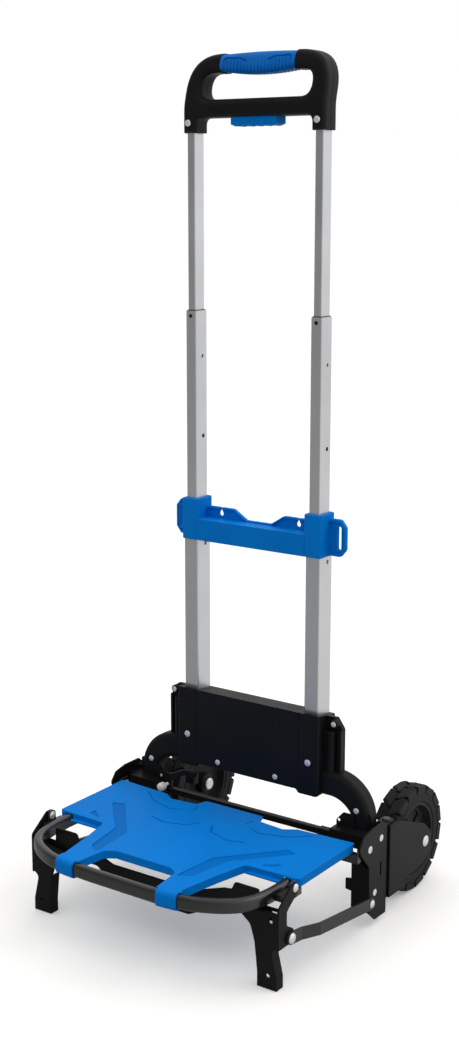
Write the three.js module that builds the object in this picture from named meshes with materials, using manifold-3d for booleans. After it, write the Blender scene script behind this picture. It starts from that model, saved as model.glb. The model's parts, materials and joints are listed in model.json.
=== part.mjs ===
// Folding hand truck with a three-stage telescopic mast, a fold-up deck on two swinging
// front legs, and two wheels that turn in under the housing as the deck folds.
// Millimetres, +Z up, -Y towards the deck. The ground is Z = 0.

import * as THREE from 'three';
import { mergeVertices } from 'three/addons/utils/BufferGeometryUtils.js';
import Module from 'manifold-3d';

const wasm = await Module();
wasm.setup();

// ---- driving dimensions ------------------------------------------------------------

const seat = 0.3; // gap between pieces that rest on each other
const running = 0.35; // gap round a sliding or turning piece

const bracket = {
  outer: 188.5, // outer face of the side plate
  sheet: 2.5,
  front: -35.5,
  back: 5,
  top: 128,
  bottom: 9,
  flangeWidth: 25.5,
  armLength: 76.5, // from the outer face in to the cross rod
  armLow: 99,
  armOuter: 10, // from the outer face to the end of the arm's front strip
};

const mast = {
  spacing: 180, // between the two tube axes
  holeDiameter: 5.2, // lock holes in the side faces
};
const lowerTube = { width: 20.6, depth: 28.6, wall: 1.4, radius: 3, top: 488 };
const middleTube = { width: 15.2, depth: 23.7, wall: 1.2, radius: 2.6, top: 725.6, bottom: 430 };
const upperTube = { width: 11, depth: 19.5, wall: 1.1, radius: 2.2, top: 955, bottom: 665 };
const lowerLock = { z: 435, y: 3, pin: 2.2 }; // middle stage locked in the lower tube
const upperLock = { z: 670, y: 2, pin: 1.6 }; // upper stage locked in the middle tube
const halfwayHole = { z: 571, y: 3 }; // upper stage locked halfway
const slack = 0.2; // round a pin that fits in a hole
const nub = { drop: 6.4, radius: 2, proud: 0.7 };

const housing = {
  front: -22, // front face of the panel
  back: 18,
  panelHalf: 106, // half width of the raised panel
  flangeHalf: 129,
  flangeTop: 249,
  flangeBottom: 172,
  flangeThickness: 3.5, // of each shell at the joint
  top: 249,
  topSlope: 9, // degrees, falling to the back
  bottom: 149.5,
  wall: 3,
  lowStep: 4.5, // how far the lower edge drops beside the tubes
};
const arm = {
  outerRadius: 47,
  innerRadius: 31,
  centreX: bracket.outer - 55,
  innerCentreX: bracket.outer - 60,
  centreZ: 126,
  drop: 6, // inner arc's centre below the outer one's
  end: 116.4, // lower end of each arm
  front: -21.4,
  back: 7,
};

const deckHinge = { y: -35.2, z: 104 };
const legHinge = { y: -187.5, z: 112 };
const linkFront = { y: -199, z: 57 };
const linkRear = { y: -34.5, z: 35.5 };
const rivet = { shank: 2.2, hole: 2.4, head: 5 };

const crossRod = { front: -29.7, back: -21.5, top: 110.7, bottom: 103 };

const deckTube = { width: 11, height: 16.5, radius: 5, wall: 1.5, z: 104.5,
  side: bracket.outer - 27.5, front: -279.5 };
const deckRear = { front: -58, back: -50, bottom: 92, top: 104 }; // cross member behind the panel
const deckEar = { inner: bracket.outer - 6.5, sheet: 3, radius: 9 };
const deck = {
  skin: 2.1,
  half: bracket.outer - 12.5,
  rear: -50,
  wideFront: -172,
  skirt: 11,
  skirtWall: 2.4,
  clipInner: 57,
  clipOuter: 88,
  recess: 0.8,
};

const leg = {
  outer: bracket.outer - 7,
  width: 26.5, // of the face above the link
  foot: 26.2, // width of the foot
  footInset: 2.7,
  waistInset: 10, // of the outer edge, just under the link
  waist: 46,
  front: -221,
  back: -204,
  flangeBack: -207, // flanges of the foot
  sheet: 2.5,
  flangeTop: 92,
  eye: 6.4,
};
const legPlate = { front: -212.5, back: -210, hump: 51, low: 53.5, high: 86, shoulder: 78 };
const link = { sheet: 3, width: 15, jogStart: -178, jogEnd: -150, slack: 3 };

const wheel = {
  radius: 68.5,
  width: 30,
  x: bracket.outer - 25.5,
  y: 99,
  rimRadius: 47,
  hubRadius: 13,
  lugs: 16,
  lugDepth: 4.5,
};
const axle = { radius: 5, head: 7, inner: wheel.x - 17 };
const wheelHinge = { x: bracket.outer - 8.5, y: 18, barrelRadius: 9.6, pinRadius: 4 };
const carrier = { outer: bracket.outer + 2, sheet: 3.2, top: 119, bottom: 29, lugSheet: 3 };
const latch = {
  x: bracket.outer - 55.5,
  z: 122.5,
  front: -23.6,
  back: -18.7,
  knobX: bracket.outer - 66,
  knobZ: 112.9,
  knobRadius: 5.5,
};
const screw = { x: 91, z: 187.5, head: 4.2, rise: 1.3, shank: 1.6 };

const handle = {
  half: 99,
  depth: 31,
  legInner: 81,
  bottom: upperTube.top - 20,
  // heights over the bottom
  bar: 17,
  openingLow: 38,
  openingHigh: 68,
  leanStart: 31,
  crown: 91,
  shoulderRadius: 48,
  rivet: 11.5,
  openingHalf: 77,
  edge: 5.5, // rounding of the long edges
  lean: 0.26, // backward for each mm of height
};
const grip = { half: 52, depth: 33, coreDepth: 22, belly: 8.5, cover: 3.5 };
const pullRod = {
  radius: 0.75,
  bend: 1.9,
  x: mast.spacing / 2 - 3.25,
  y: 5.5,
  z: upperTube.top + 2.2,
  inner: 27.5,
  bottom: upperTube.bottom + 13.5,
};
const button = { half: 32.5, depth: 20, top: upperTube.top, height: 14.5, travel: 5.5, scallops: 5 };

const collar = { wall: 1.7, frontWall: 2.2, bottom: 442, top: 494, lip: 6 };
const crossBar = { top: 469, front: -16, skin: 2.6, wing: 483, valley: 470, wingY: 6 };
const ear = { half: 125, bottom: 443, top: 488, slotX: 116, slotWidth: 6, slotBottom: 451, slotTop: 480 };

// ---- materials ---------------------------------------------------------------------

function finish(color, roughness, metalness) {
  return { color, roughness, metalness };
}

const finishes = {
  aluminium: finish(0xb4b6ba, 0.35, 0.9),
  blackPlastic: finish(0x232427, 0.55, 0),
  bluePlastic: finish(0x0f7fdc, 0.45, 0),
  blackSteel: finish(0x26272a, 0.4, 0.4),
  greySteel: finish(0x55575b, 0.45, 0.6),
  rivetSteel: finish(0xd2d4d6, 0.3, 0.9),
  rubber: finish(0x1c1c1d, 0.85, 0),
  whitePlastic: finish(0xececea, 0.4, 0),
};

// ---- solid helpers -----------------------------------------------------------------

const axisX = new THREE.Vector3(1, 0, 0);
const axisY = new THREE.Vector3(0, 1, 0);
const axisZ = new THREE.Vector3(0, 0, 1);

function solid(geometry) {
  const bare = geometry.clone();
  bare.deleteAttribute('normal');
  bare.deleteAttribute('uv');
  const merged = mergeVertices(bare, 1e-4);
  const mesh = new wasm.Mesh({
    numProp: 3,
    vertProperties: new Float32Array(merged.attributes.position.array),
    triVerts: new Uint32Array(merged.index.array),
  });
  return new wasm.Manifold(mesh);
}

function join(...solids) {
  return solids.reduce((whole, next) => whole.add(next));
}

function cut(base, ...tools) {
  return tools.reduce((rest, tool) => rest.subtract(tool), base);
}

function geometryOf(body) {
  const mesh = body.getMesh();
  const geometry = new THREE.BufferGeometry();
  geometry.setAttribute('position', new THREE.BufferAttribute(new Float32Array(mesh.vertProperties), 3));
  geometry.setIndex(new THREE.BufferAttribute(new Uint32Array(mesh.triVerts), 1));
  return geometry;
}

// the same body on the other side of the mast
function mirrored(body) {
  const geometry = geometryOf(body);
  geometry.scale(-1, 1, 1);
  const index = geometry.index.array;
  for (let i = 0; i < index.length; i += 3) {
    [index[i], index[i + 1]] = [index[i + 1], index[i]];
  }
  return solid(geometry);
}

function moved(body, x, y, z) {
  const geometry = geometryOf(body);
  geometry.translate(x, y, z);
  return solid(geometry);
}

// ---- outline helpers ---------------------------------------------------------------

// closed outline through [a, b, radius] corners: large radii are rounded, small ones chamfered
function outline(corners, target = new THREE.Shape()) {
  const count = corners.length;
  corners.forEach(([a, b, radius = 0], i) => {
    const corner = new THREE.Vector2(a, b);
    const before = new THREE.Vector2(...corners[(i + count - 1) % count].slice(0, 2)).sub(corner);
    const after = new THREE.Vector2(...corners[(i + 1) % count].slice(0, 2)).sub(corner);
    const cosine = before.dot(after) / before.length() / after.length();
    const half = Math.acos(THREE.MathUtils.clamp(cosine, -1, 1)) / 2;
    const wanted = (radius > 2.5 ? 1 : 0.6) * radius / Math.tan(half);
    const reach = Math.min(wanted, 0.49 * before.length(), 0.49 * after.length());
    const enter = corner.clone().addScaledVector(before.normalize(), reach);
    const leave = corner.clone().addScaledVector(after.normalize(), reach);
    if (i === 0) target.moveTo(enter.x, enter.y);
    else target.lineTo(enter.x, enter.y);
    if (radius > 2.5) target.quadraticCurveTo(corner.x, corner.y, leave.x, leave.y);
    else if (radius > 0) target.lineTo(leave.x, leave.y);
  });
  target.closePath();
  return target;
}

function mirroredOutline(rightHalf) {
  const leftHalf = rightHalf.map(([a, b, r]) => [-a, b, r]).reverse();
  return [...rightHalf, ...leftHalf];
}

function rectangle(a0, a1, b0, b1, radius = 0, target = new THREE.Shape()) {
  return outline([[a0, b0, radius], [a1, b0, radius], [a1, b1, radius], [a0, b1, radius]], target);
}

function disc(a, b, radius, target = new THREE.Shape()) {
  target.absarc(a, b, radius, 0, 2 * Math.PI);
  return target;
}

// ---- extrusions along the three axes -------------------------------------------------

function extruded(shape, length, bevel, basis, start, segments) {
  const geometry = new THREE.ExtrudeGeometry(shape, {
    depth: length - 2 * bevel,
    bevelEnabled: bevel > 0,
    bevelThickness: bevel,
    bevelSize: bevel,
    bevelOffset: -bevel,
    bevelSegments: bevel > 3 ? 2 : 1,
    curveSegments: segments,
  });
  geometry.translate(0, 0, bevel);
  geometry.applyMatrix4(new THREE.Matrix4().makeBasis(...basis).setPosition(start));
  return solid(geometry);
}

// outline in (y, z)
function alongX(shape, x0, x1, bevel = 0, segments = 2) {
  return extruded(shape, x1 - x0, bevel, [axisY, axisZ, axisX], new THREE.Vector3(x0, 0, 0), segments);
}

// outline in (x, z)
function alongY(shape, y0, y1, bevel = 0, segments = 2) {
  const back = axisY.clone().negate();
  return extruded(shape, y1 - y0, bevel, [axisX, axisZ, back], new THREE.Vector3(0, y1, 0), segments);
}

// outline in (x, y)
function alongZ(shape, z0, z1, bevel = 0, segments = 2) {
  return extruded(shape, z1 - z0, bevel, [axisX, axisY, axisZ], new THREE.Vector3(0, 0, z0), segments);
}

function box(x0, x1, y0, y1, z0, z1) {
  return alongZ(rectangle(x0, x1, y0, y1), z0, z1);
}

// round bar between two heights of its own axis
function barX(radius, x0, x1, y, z, segments = 4) {
  return alongX(disc(y, z, radius), x0, x1, 0, segments);
}

function barY(radius, y0, y1, x, z, segments = 4) {
  return alongY(disc(x, z, radius), y0, y1, 0, segments);
}

function barZ(radius, z0, z1, x, y, segments = 4) {
  return alongZ(disc(x, y, radius), z0, z1, 0, segments);
}

// turned piece: profile of [radius, distance] pairs, its axis laid along `direction` from `start`
function turned(profile, direction, start, segments = 24) {
  const points = profile.map(([radius, distance]) => new THREE.Vector2(radius, distance));
  const geometry = new THREE.LatheGeometry(points, segments);
  geometry.applyQuaternion(new THREE.Quaternion().setFromUnitVectors(axisY, direction));
  geometry.translate(start.x, start.y, start.z);
  return solid(geometry);
}

// rivet through `length` of material, with a low domed head at each end
function rivetBody(length, direction, start, headRadius = rivet.head, pinRadius = rivet.shank) {
  const gap = 0.15;
  const rise = 0.42 * headRadius;
  const end = length + gap;
  return turned([
    [0, -gap - rise],
    [0.55 * headRadius, -gap - rise],
    [headRadius, -gap - 0.25 * rise],
    [headRadius, -gap],
    [pinRadius, -gap],
    [pinRadius, end],
    [headRadius, end],
    [headRadius, end + 0.25 * rise],
    [0.55 * headRadius, end + rise],
    [0, end + rise],
  ], direction, start, 8);
}

// rivet with one head at `start`, its other end flush with the far face
function flushRivet(length, direction, start) {
  return turned([
    [0, -2.2],
    [3.2, -1.8],
    [rivet.head, -0.6],
    [rivet.head, -0.15],
    [rivet.shank, -0.15],
    [rivet.shank, length - 0.1],
    [0, length - 0.1],
  ], direction, start, 10);
}

// ---- the assembly --------------------------------------------------------------------

const truck = new THREE.Group();

function add(name, body, look) {
  const material = new THREE.MeshStandardMaterial({
    color: look.color,
    roughness: look.roughness,
    metalness: look.metalness,
  });
  material.name = name;
  const mesh = new THREE.Mesh(geometryOf(body), material);
  mesh.name = name;
  truck.add(mesh);
}

function addPair(name, rightBody, look) {
  add(`${name}_right`, rightBody, look);
  add(`${name}_left`, mirrored(rightBody), look);
}

// ---- mast tubes ------------------------------------------------------------------------

function tubeOutline(tube, grow = 0) {
  const half = tube.width / 2 + grow;
  const deep = tube.depth / 2 + grow;
  return rectangle(-half, half, -deep, deep, tube.radius + grow);
}

function hollowTube(tube, bottom, top) {
  const shape = tubeOutline(tube);
  shape.holes.push(tubeOutline(tube, -tube.wall));
  return alongZ(shape, bottom, top, 0, 2);
}

const tubeX = mast.spacing / 2;

// hole through both side faces of a tube
function sideHole(radius, { y, z }) {
  return barX(radius, -20, 20, y, z);
}

function addTubes() {
  const foot = housing.bottom - housing.lowStep + housing.wall + seat;
  const lower = cut(hollowTube(lowerTube, foot, lowerTube.top), sideHole(mast.holeDiameter / 2, lowerLock));
  const nubHole = barY(nub.radius + slack, -middleTube.depth, 0, 0, middleTube.top - nub.drop);
  const middle = cut(hollowTube(middleTube, middleTube.bottom, middleTube.top),
    sideHole(mast.holeDiameter / 2, halfwayHole), sideHole(upperLock.pin + slack, upperLock),
    sideHole(lowerLock.pin + slack, lowerLock), nubHole);
  const rivetHole = barY(rivet.hole, -30, 30, 0, handle.bottom + handle.rivet);
  const upper = cut(hollowTube(upperTube, upperTube.bottom, upperTube.top), rivetHole,
    sideHole(upperLock.pin + slack, upperLock));
  addPair('lower_tube', moved(lower, tubeX, 0, 0), finishes.aluminium);
  addPair('middle_tube', moved(middle, tubeX, 0, 0), finishes.aluminium);
  addPair('upper_tube', moved(upper, tubeX, 0, 0), finishes.aluminium);
}

// sliding foot that closes the end of a tube and runs in the next one
function slidingFoot(outerTube, innerTube, height, plug) {
  const block = alongZ(tubeOutline(outerTube, -outerTube.wall - running),
    innerTube.bottom - height, innerTube.bottom, 0, 2);
  const neck = alongZ(tubeOutline(innerTube, -innerTube.wall - 0.1),
    innerTube.bottom - 1, innerTube.bottom + plug, 0, 2);
  return join(block, neck);
}

// bush in the mouth of the middle tube, held by a nub through the tube's front face
function mouthBush() {
  const inner = tubeOutline(upperTube, running / 2 + 0.05);
  const sleeve = tubeOutline(middleTube, -middleTube.wall - 0.1);
  sleeve.holes.push(inner);
  const body = alongZ(sleeve, middleTube.top - 16, middleTube.top + 0.9, 0, 2);
  const faceY = -middleTube.depth / 2;
  const pegEnd = faceY + middleTube.wall + 0.3;
  const peg = barY(nub.radius, faceY - nub.proud, pegEnd, 0, middleTube.top - nub.drop, 8);
  return join(body, peg);
}

// spring pin across a foot, drawn in far enough to let the stage slide
function lockPin(outerTube, { y, z, pin }) {
  const reach = outerTube.width / 2 - outerTube.wall - seat;
  return alongX(disc(y, z, pin), -reach, reach, 0.5, 5);
}

function addTubeFittings() {
  const stages = [
    ['middle_tube_foot', 'lower_lock_pin', lowerTube, middleTube, lowerLock],
    ['upper_tube_foot', 'upper_lock_pin', middleTube, upperTube, upperLock],
  ];
  for (const [footName, pinName, outerTube, innerTube, lock] of stages) {
    const foot = cut(slidingFoot(outerTube, innerTube, 12, 12), sideHole(lock.pin + slack, lock));
    addPair(footName, moved(foot, tubeX, 0, 0), finishes.blackPlastic);
    addPair(pinName, moved(lockPin(outerTube, lock), tubeX, 0, 0), finishes.rivetSteel);
  }
  addPair('mouth_bush', moved(mouthBush(), tubeX, 0, 0), finishes.blackPlastic);
}

// ---- handle ------------------------------------------------------------------------------

function handleOutline() {
  const right = [
    [handle.legInner, 0, 8],
    [handle.half, 0, 8],
    [handle.half, handle.crown - 0.5, handle.shoulderRadius],
  ];
  const left = right.map(([a, b, r]) => [-a, b, r]).reverse();
  const under = [[-handle.legInner, handle.bar, 10], [handle.legInner, handle.bar, 10]];
  const raised = (corners) => corners.map(([a, b, r]) => [a, handle.bottom + b, r]);
  const shape = outline(raised([...right, ...left, ...under]));
  const { openingHalf, openingLow, openingHigh } = handle;
  const opening = [
    [-openingHalf, openingLow, 14.5],
    [openingHalf, openingLow, 14.5],
    [openingHalf, openingHigh, 14.5],
    [-openingHalf, openingHigh, 14.5],
  ];
  shape.holes.push(outline(raised(opening), new THREE.Path()));
  return shape;
}

function gripOutline(grow = 0) {
  const end = grip.half + grow;
  const low = handle.bottom + handle.openingHigh + 1 - grow;
  const high = handle.bottom + handle.crown - 1 + grow;
  const shape = new THREE.Shape();
  shape.moveTo(-end, low);
  shape.quadraticCurveTo(0, low - grip.belly - 1, end, low);
  shape.lineTo(end, high);
  shape.quadraticCurveTo(0, high + 3, -end, high);
  shape.closePath();
  return shape;
}

// core of the grip, part of both shells, and the room for it in the grip
function gripCore(grow, end) {
  const half = grip.coreDepth / 2 + grow;
  const low = handle.bottom + handle.openingHigh + grip.cover - grow;
  const high = handle.bottom + handle.crown - 6 + grow;
  return alongX(rectangle(-half, half, low, high, 3 + grow), -grip.half - end, grip.half + end, 0, 2);
}

// the upper part of the handle leans back
function leaned(body) {
  const start = handle.bottom + handle.leanStart;
  const wide = 2 * handle.half;
  const lower = body.intersect(box(-wide, wide, -wide, wide, handle.bottom - 10, start));
  const upper = geometryOf(body.intersect(box(-wide, wide, -wide, wide, start, start + wide)));
  const place = upper.attributes.position;
  for (let i = 0; i < place.count; i += 1) {
    place.setY(i, place.getY(i) + handle.lean * (place.getZ(i) - start));
  }
  return join(lower, solid(upper));
}

function addHandle() {
  const deep = handle.depth / 2;
  const rivetZ = handle.bottom + handle.rivet;
  const whole = alongY(handleOutline(), -deep, deep, handle.edge, 3);
  const gripRoom = alongY(gripOutline(seat), -deep - 2, deep + 2, 0, 5);
  const tubeRoom = alongZ(tubeOutline(upperTube, 0.15), handle.bottom - 5, upperTube.top + seat, 0, 2);
  const rivetRoom = barY(rivet.hole, -2 * deep, 2 * deep, 0, rivetZ, 12);
  const buttonRoom = box(-button.half - 0.4, button.half + 0.4, -button.depth / 2 - 0.4,
    button.depth / 2 + 0.4, handle.bottom, button.top + button.travel + 0.6);
  const rodGap = pullRod.radius + 0.5;
  const rodRoom = box(pullRod.inner - 1, pullRod.x + rodGap, pullRod.y - rodGap, pullRod.y + rodGap,
    upperTube.top - 1, pullRod.z + button.travel + rodGap);
  let shell = cut(join(cut(whole, gripRoom), gripCore(0, 2)), rodRoom, mirrored(rodRoom));
  for (const side of [-1, 1]) {
    shell = cut(shell, moved(tubeRoom, side * tubeX, 0, 0), moved(rivetRoom, side * tubeX, 0, 0));
  }
  shell = cut(shell, buttonRoom);
  const half = (y0, y1) => box(-2 * handle.half, 2 * handle.half, y0, y1, handle.bottom - 5,
    handle.bottom + 2 * handle.crown);
  add('handle_front_shell', leaned(shell.intersect(half(-2 * deep, -seat / 2))), finishes.blackPlastic);
  add('handle_rear_shell', leaned(shell.intersect(half(seat / 2, 2 * deep))), finishes.blackPlastic);

  const sleeve = alongY(gripOutline(), -grip.depth / 2, grip.depth / 2, 4.5, 4);
  const grooves = [];
  const grooveZ = handle.bottom + handle.openingHigh + 2.5;
  const pitch = grip.half / 5;
  for (let x = -4 * pitch; x <= 4.1 * pitch; x += pitch) {
    for (const side of [-1, 1]) {
      const y = side * grip.depth / 2;
      grooves.push(box(x - 0.9, x + 0.9, y - 1, y + 1, grooveZ, grooveZ + 12));
    }
  }
  add('grip_pad', leaned(cut(sleeve, gripCore(0.15, 3), ...grooves)), finishes.bluePlastic);

  // button with a scalloped lower edge
  const low = button.top - button.height + 1;
  const buttonShape = new THREE.Shape();
  buttonShape.moveTo(-button.half, button.top);
  buttonShape.lineTo(-button.half, low + 2);
  const scallop = 2 * (button.half - 2) / button.scallops;
  buttonShape.quadraticCurveTo(-button.half, low, -button.half + 2, low);
  for (let i = 0; i < button.scallops; i += 1) {
    const x0 = -button.half + 2 + i * scallop;
    buttonShape.quadraticCurveTo(x0 + scallop / 2, low + 3.5, x0 + scallop, low);
  }
  buttonShape.quadraticCurveTo(button.half, low, button.half, low + 2);
  buttonShape.lineTo(button.half, button.top);
  buttonShape.closePath();
  add('release_button', alongY(buttonShape, -button.depth / 2, button.depth / 2, 1, 2), finishes.bluePlastic);

  // wire from over the button, across to the tube and down to the lock pin
  const { radius, bend, x: rodX, y: rodY, z: rodZ } = pullRod;
  const at = (x, z) => new THREE.Vector3(x, rodY, z);
  const turn = new THREE.QuadraticBezierCurve3(at(rodX - bend, rodZ), at(rodX, rodZ), at(rodX, rodZ - bend));
  const wire = (extrudePath, steps) => solid(new THREE.ExtrudeGeometry(disc(0, 0, radius),
    { steps, extrudePath, curveSegments: 3 }));
  const pieces = [
    wire(new THREE.LineCurve3(at(pullRod.inner, rodZ), at(rodX - bend, rodZ)), 1),
    wire(turn, 4),
    wire(new THREE.LineCurve3(at(rodX, rodZ - bend), at(rodX, pullRod.bottom)), 1),
  ];
  addPair('pull_rod', join(...pieces), finishes.rivetSteel);

  const start = new THREE.Vector3(tubeX, -deep, rivetZ);
  addPair('handle_rivet', rivetBody(handle.depth, axisY, start, 4), finishes.rivetSteel);
}

// ---- cross bracket -------------------------------------------------------------------------

function addCrossBracket() {
  const outerX = tubeX + lowerTube.width / 2 + collar.wall;
  const innerX = tubeX - lowerTube.width / 2 - collar.wall;
  const deep = lowerTube.depth / 2 + collar.frontWall;
  const tubeRoom = alongZ(tubeOutline(lowerTube, seat / 2), collar.bottom - 1, lowerTube.top + seat, 0, 2);
  const mouth = alongZ(tubeOutline(middleTube, running), lowerTube.top, collar.top + 1, 0, 2);
  const collarBody = alongZ(rectangle(innerX, outerX, -deep, deep, 5), collar.bottom, collar.top, 1, 2);

  // hollow bar between the collars, open below, with ribs inside
  const back = crossBar.wingY + crossBar.skin;
  const bar = cut(
    box(-innerX - 1, innerX + 1, crossBar.front, back, collar.bottom, crossBar.top),
    box(-innerX, innerX, crossBar.front + crossBar.skin, crossBar.wingY,
      collar.bottom - 1, crossBar.top - crossBar.skin),
  );
  const ribs = [];
  for (let x = -60; x <= 60; x += 30) {
    ribs.push(box(x - 0.9, x + 0.9, crossBar.front + 1, back - 1, collar.bottom + 2, crossBar.top - 1));
  }

  // upright plate behind, with a dip in the middle and two hanging holes open to a notch
  const wing = outline(mirroredOutline([
    [innerX + 1, crossBar.top - 6],
    [innerX + 1, crossBar.wing, 0],
    [66, crossBar.wing, 2],
    [64, 476, 3],
    [50, 476, 3],
    [47, crossBar.wing, 2],
    [37, crossBar.wing, 4],
    [18, crossBar.valley + 1, 6],
  ]));
  const wingPlate = alongY(wing, crossBar.wingY, back, 0.6, 2);
  const rimBand = outline(mirroredOutline([
    [44, crossBar.top - 2],
    [44, crossBar.wing, 1],
    [37, crossBar.wing, 3],
    [18, crossBar.valley + 1, 5],
  ]));
  const rimHollow = outline(mirroredOutline([
    [41.5, crossBar.top - 3],
    [41.5, crossBar.wing - 2.5, 1],
    [36.4, crossBar.wing - 2.5, 3],
    [17.6, crossBar.valley - 1.5, 5],
  ]));
  const rim = cut(
    alongY(rimBand, crossBar.wingY - 2.2, crossBar.wingY + 0.5, 0, 2),
    alongY(rimHollow, crossBar.wingY - 3, crossBar.wingY + 1, 0, 2),
  );

  // side ears with a tall strap slot and a raised rim
  const earShape = (grow) => outline([
    [outerX - 2, ear.bottom - grow, 0],
    [ear.half - 7 + grow, ear.bottom - grow, 4],
    [ear.half + grow, ear.bottom + 9, 3],
    [ear.half + grow, ear.top - 9, 3],
    [ear.half - 7 + grow, ear.top + grow, 4],
    [outerX - 2, ear.top + grow, 0],
  ]);
  const slot = rectangle(ear.slotX - ear.slotWidth / 2, ear.slotX + ear.slotWidth / 2,
    ear.slotBottom, ear.slotTop, ear.slotWidth / 2 - 0.1);
  const earPlate = alongY(earShape(0), 3, 8.5, 0.8, 2);
  const earHollow = alongY(earShape(-3), 1, 4.6, 0, 2);
  const slotRim = alongY(rectangle(ear.slotX - ear.slotWidth / 2 - 2, ear.slotX + ear.slotWidth / 2 + 2,
    ear.slotBottom - 2, ear.slotTop + 2, ear.slotWidth / 2 + 1.8), 3.2, 6, 0, 2);
  const earBody = cut(join(cut(earPlate, earHollow), slotRim), alongY(slot, -5, 20, 0, 2));

  const halves = [];
  for (const body of [collarBody, earBody]) halves.push(body, mirrored(body));
  const whole = join(bar, wingPlate, rim, ...ribs, ...halves);
  const rooms = [];
  for (const side of [-1, 1]) {
    rooms.push(moved(tubeRoom, side * tubeX, 0, 0), moved(mouth, side * tubeX, 0, 0));
  }
  add('cross_bracket', cut(whole, ...rooms), finishes.bluePlastic);
}

// ---- lower housing ---------------------------------------------------------------------------

// front view of the panel, moved inwards by `inset`
function panelOutline(inset) {
  const side = housing.panelHalf - inset;
  const low = housing.bottom + inset;
  const step = low - housing.lowStep;
  return outline(mirroredOutline([
    [73, low, 2],
    [77.5, step, 0],
    [side, step, 4],
    [side, housing.top + 12 - inset, 0],
  ]));
}

function flangeOutline() {
  return outline(mirroredOutline([
    [housing.panelHalf - 2, housing.flangeBottom - 6],
    [housing.flangeHalf, housing.flangeBottom - 6],
    [housing.flangeHalf, 232, 4],
    [housing.flangeHalf - 12, housing.flangeTop, 6],
    [housing.panelHalf - 2, housing.flangeTop],
  ]));
}

// curved arm from the side of the panel out and down to the corner bracket
function armOutline(inset) {
  const shape = new THREE.Shape();
  const outer = arm.outerRadius - inset;
  const inner = arm.innerRadius + inset;
  const low = arm.end - 8;
  const root = 90;
  shape.moveTo(root, arm.centreZ + outer);
  shape.absarc(arm.centreX, arm.centreZ, outer, Math.PI / 2, 0, true);
  shape.lineTo(arm.centreX + outer, low);
  shape.lineTo(arm.innerCentreX + inner, low);
  shape.absarc(arm.innerCentreX, arm.centreZ - arm.drop, inner, 0, Math.PI / 2, false);
  shape.lineTo(root, arm.centreZ - arm.drop + inner);
  shape.closePath();
  return shape;
}

// one shell: panel, flange and both arms, hollow inside, its open side at the joint
function housingShell(front) {
  const sign = front ? -1 : 1;
  const span = (face, bevel = 0) => (front ? [face, 2 * bevel] : [-2 * bevel, face]);
  const panelFace = front ? housing.front : housing.back;
  const armFace = front ? arm.front : arm.back;
  const panel = alongY(panelOutline(0), ...span(panelFace, 2.4), 2.4, 2);
  const flange = alongY(flangeOutline(), ...span(sign * housing.flangeThickness), 0, 2);
  const armBody = alongY(armOutline(0), ...span(armFace, 4), 4, 5);
  const armHollow = alongY(armOutline(housing.wall), ...span(armFace - sign * housing.wall, 1), 0, 5);
  const panelHollow = alongY(panelOutline(housing.wall), ...span(panelFace - sign * housing.wall, 1), 0, 2);
  const underArm = box(-250, 250, -60, 60, 0, arm.end);
  const whole = join(panel, flange, armBody, mirrored(armBody));
  return cut(whole, panelHollow, armHollow, mirrored(armHollow), underArm);
}

// a slab under or over the sloping top of the housing
function slopingSlab(half, under, over) {
  const geometry = new THREE.BoxGeometry(2 * half, 120, over - under);
  geometry.translate(0, 50, (under + over) / 2);
  geometry.rotateX(-THREE.MathUtils.degToRad(housing.topSlope));
  geometry.translate(0, housing.front, housing.top);
  return solid(geometry);
}

function addHousing() {
  const above = slopingSlab(housing.flangeHalf + 5, 0, 60);
  const lid = slopingSlab(housing.panelHalf - 1, -housing.wall, 0);
  const footZ = housing.bottom - housing.lowStep + housing.wall;
  const tubeRoom = alongZ(tubeOutline(lowerTube, seat / 2), footZ, housing.top + 60, 0, 2);
  const rooms = [-1, 1].map((side) => moved(tubeRoom, side * tubeX, 0, 0));

  // upright column and rim of the channel between panel and flange edge
  const low = housing.flangeBottom - 4;
  const columnX = housing.panelHalf + 9;
  const frontExtras = [
    barZ(5.5, low, 229, columnX, -7),
    box(housing.panelHalf - 2, columnX, -10, -1, low, 229),
    box(housing.flangeHalf - 3.2, housing.flangeHalf, -7, -1, low, 231),
  ];
  const rearExtras = [];
  for (let x = 30; x <= 60; x += 30) {
    rearExtras.push(box(x - 1.2, x + 1.2, housing.back - 1, housing.back + 2.2, 160, 232));
  }

  // screws beside the tubes: each head lies on the face, its shank in a blind hole
  const depth = housing.wall - 0.6;
  const screwBody = turned([
    [0, -screw.rise - 0.15],
    [0.7 * screw.head, -screw.rise],
    [screw.head, -0.5],
    [screw.head, -0.15],
    [screw.shank, -0.15],
    [screw.shank, depth - 0.3],
    [0, depth - 0.3],
  ], axisY, new THREE.Vector3(screw.x, housing.front, screw.z), 8);
  addPair('panel_screw', screwBody, finishes.rivetSteel);
  const screwRoom = barY(screw.shank + 0.15, housing.front - 1, housing.front + depth, screw.x, screw.z);

  for (const front of [true, false]) {
    const sign = front ? -1 : 1;
    const keep = front ? box(-250, 250, -60, -seat / 2, 0, 400) : box(-250, 250, seat / 2, 60, 0, 400);
    const face = (front ? housing.front : housing.back) - sign;
    const lidHalf = lid.intersect(front ? box(-250, 250, face, 0, 0, 400) : box(-250, 250, 0, face, 0, 400));
    const extras = (front ? frontExtras : rearExtras).flatMap((body) => [body, mirrored(body)]);
    const whole = join(cut(housingShell(front), above), lidHalf, ...extras).intersect(keep);
    const shell = cut(whole, ...rooms, ...(front ? [screwRoom, mirrored(screwRoom)] : []));
    add(front ? 'housing_front' : 'housing_rear', shell, finishes.blackPlastic);
  }
}

// ---- corner brackets and cross rod -------------------------------------------------------------

const strapFront = crossRod.front - seat - bracket.sheet;
const armTop = arm.end - seat;
const insideTongue = arm.front + housing.wall + seat;

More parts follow.
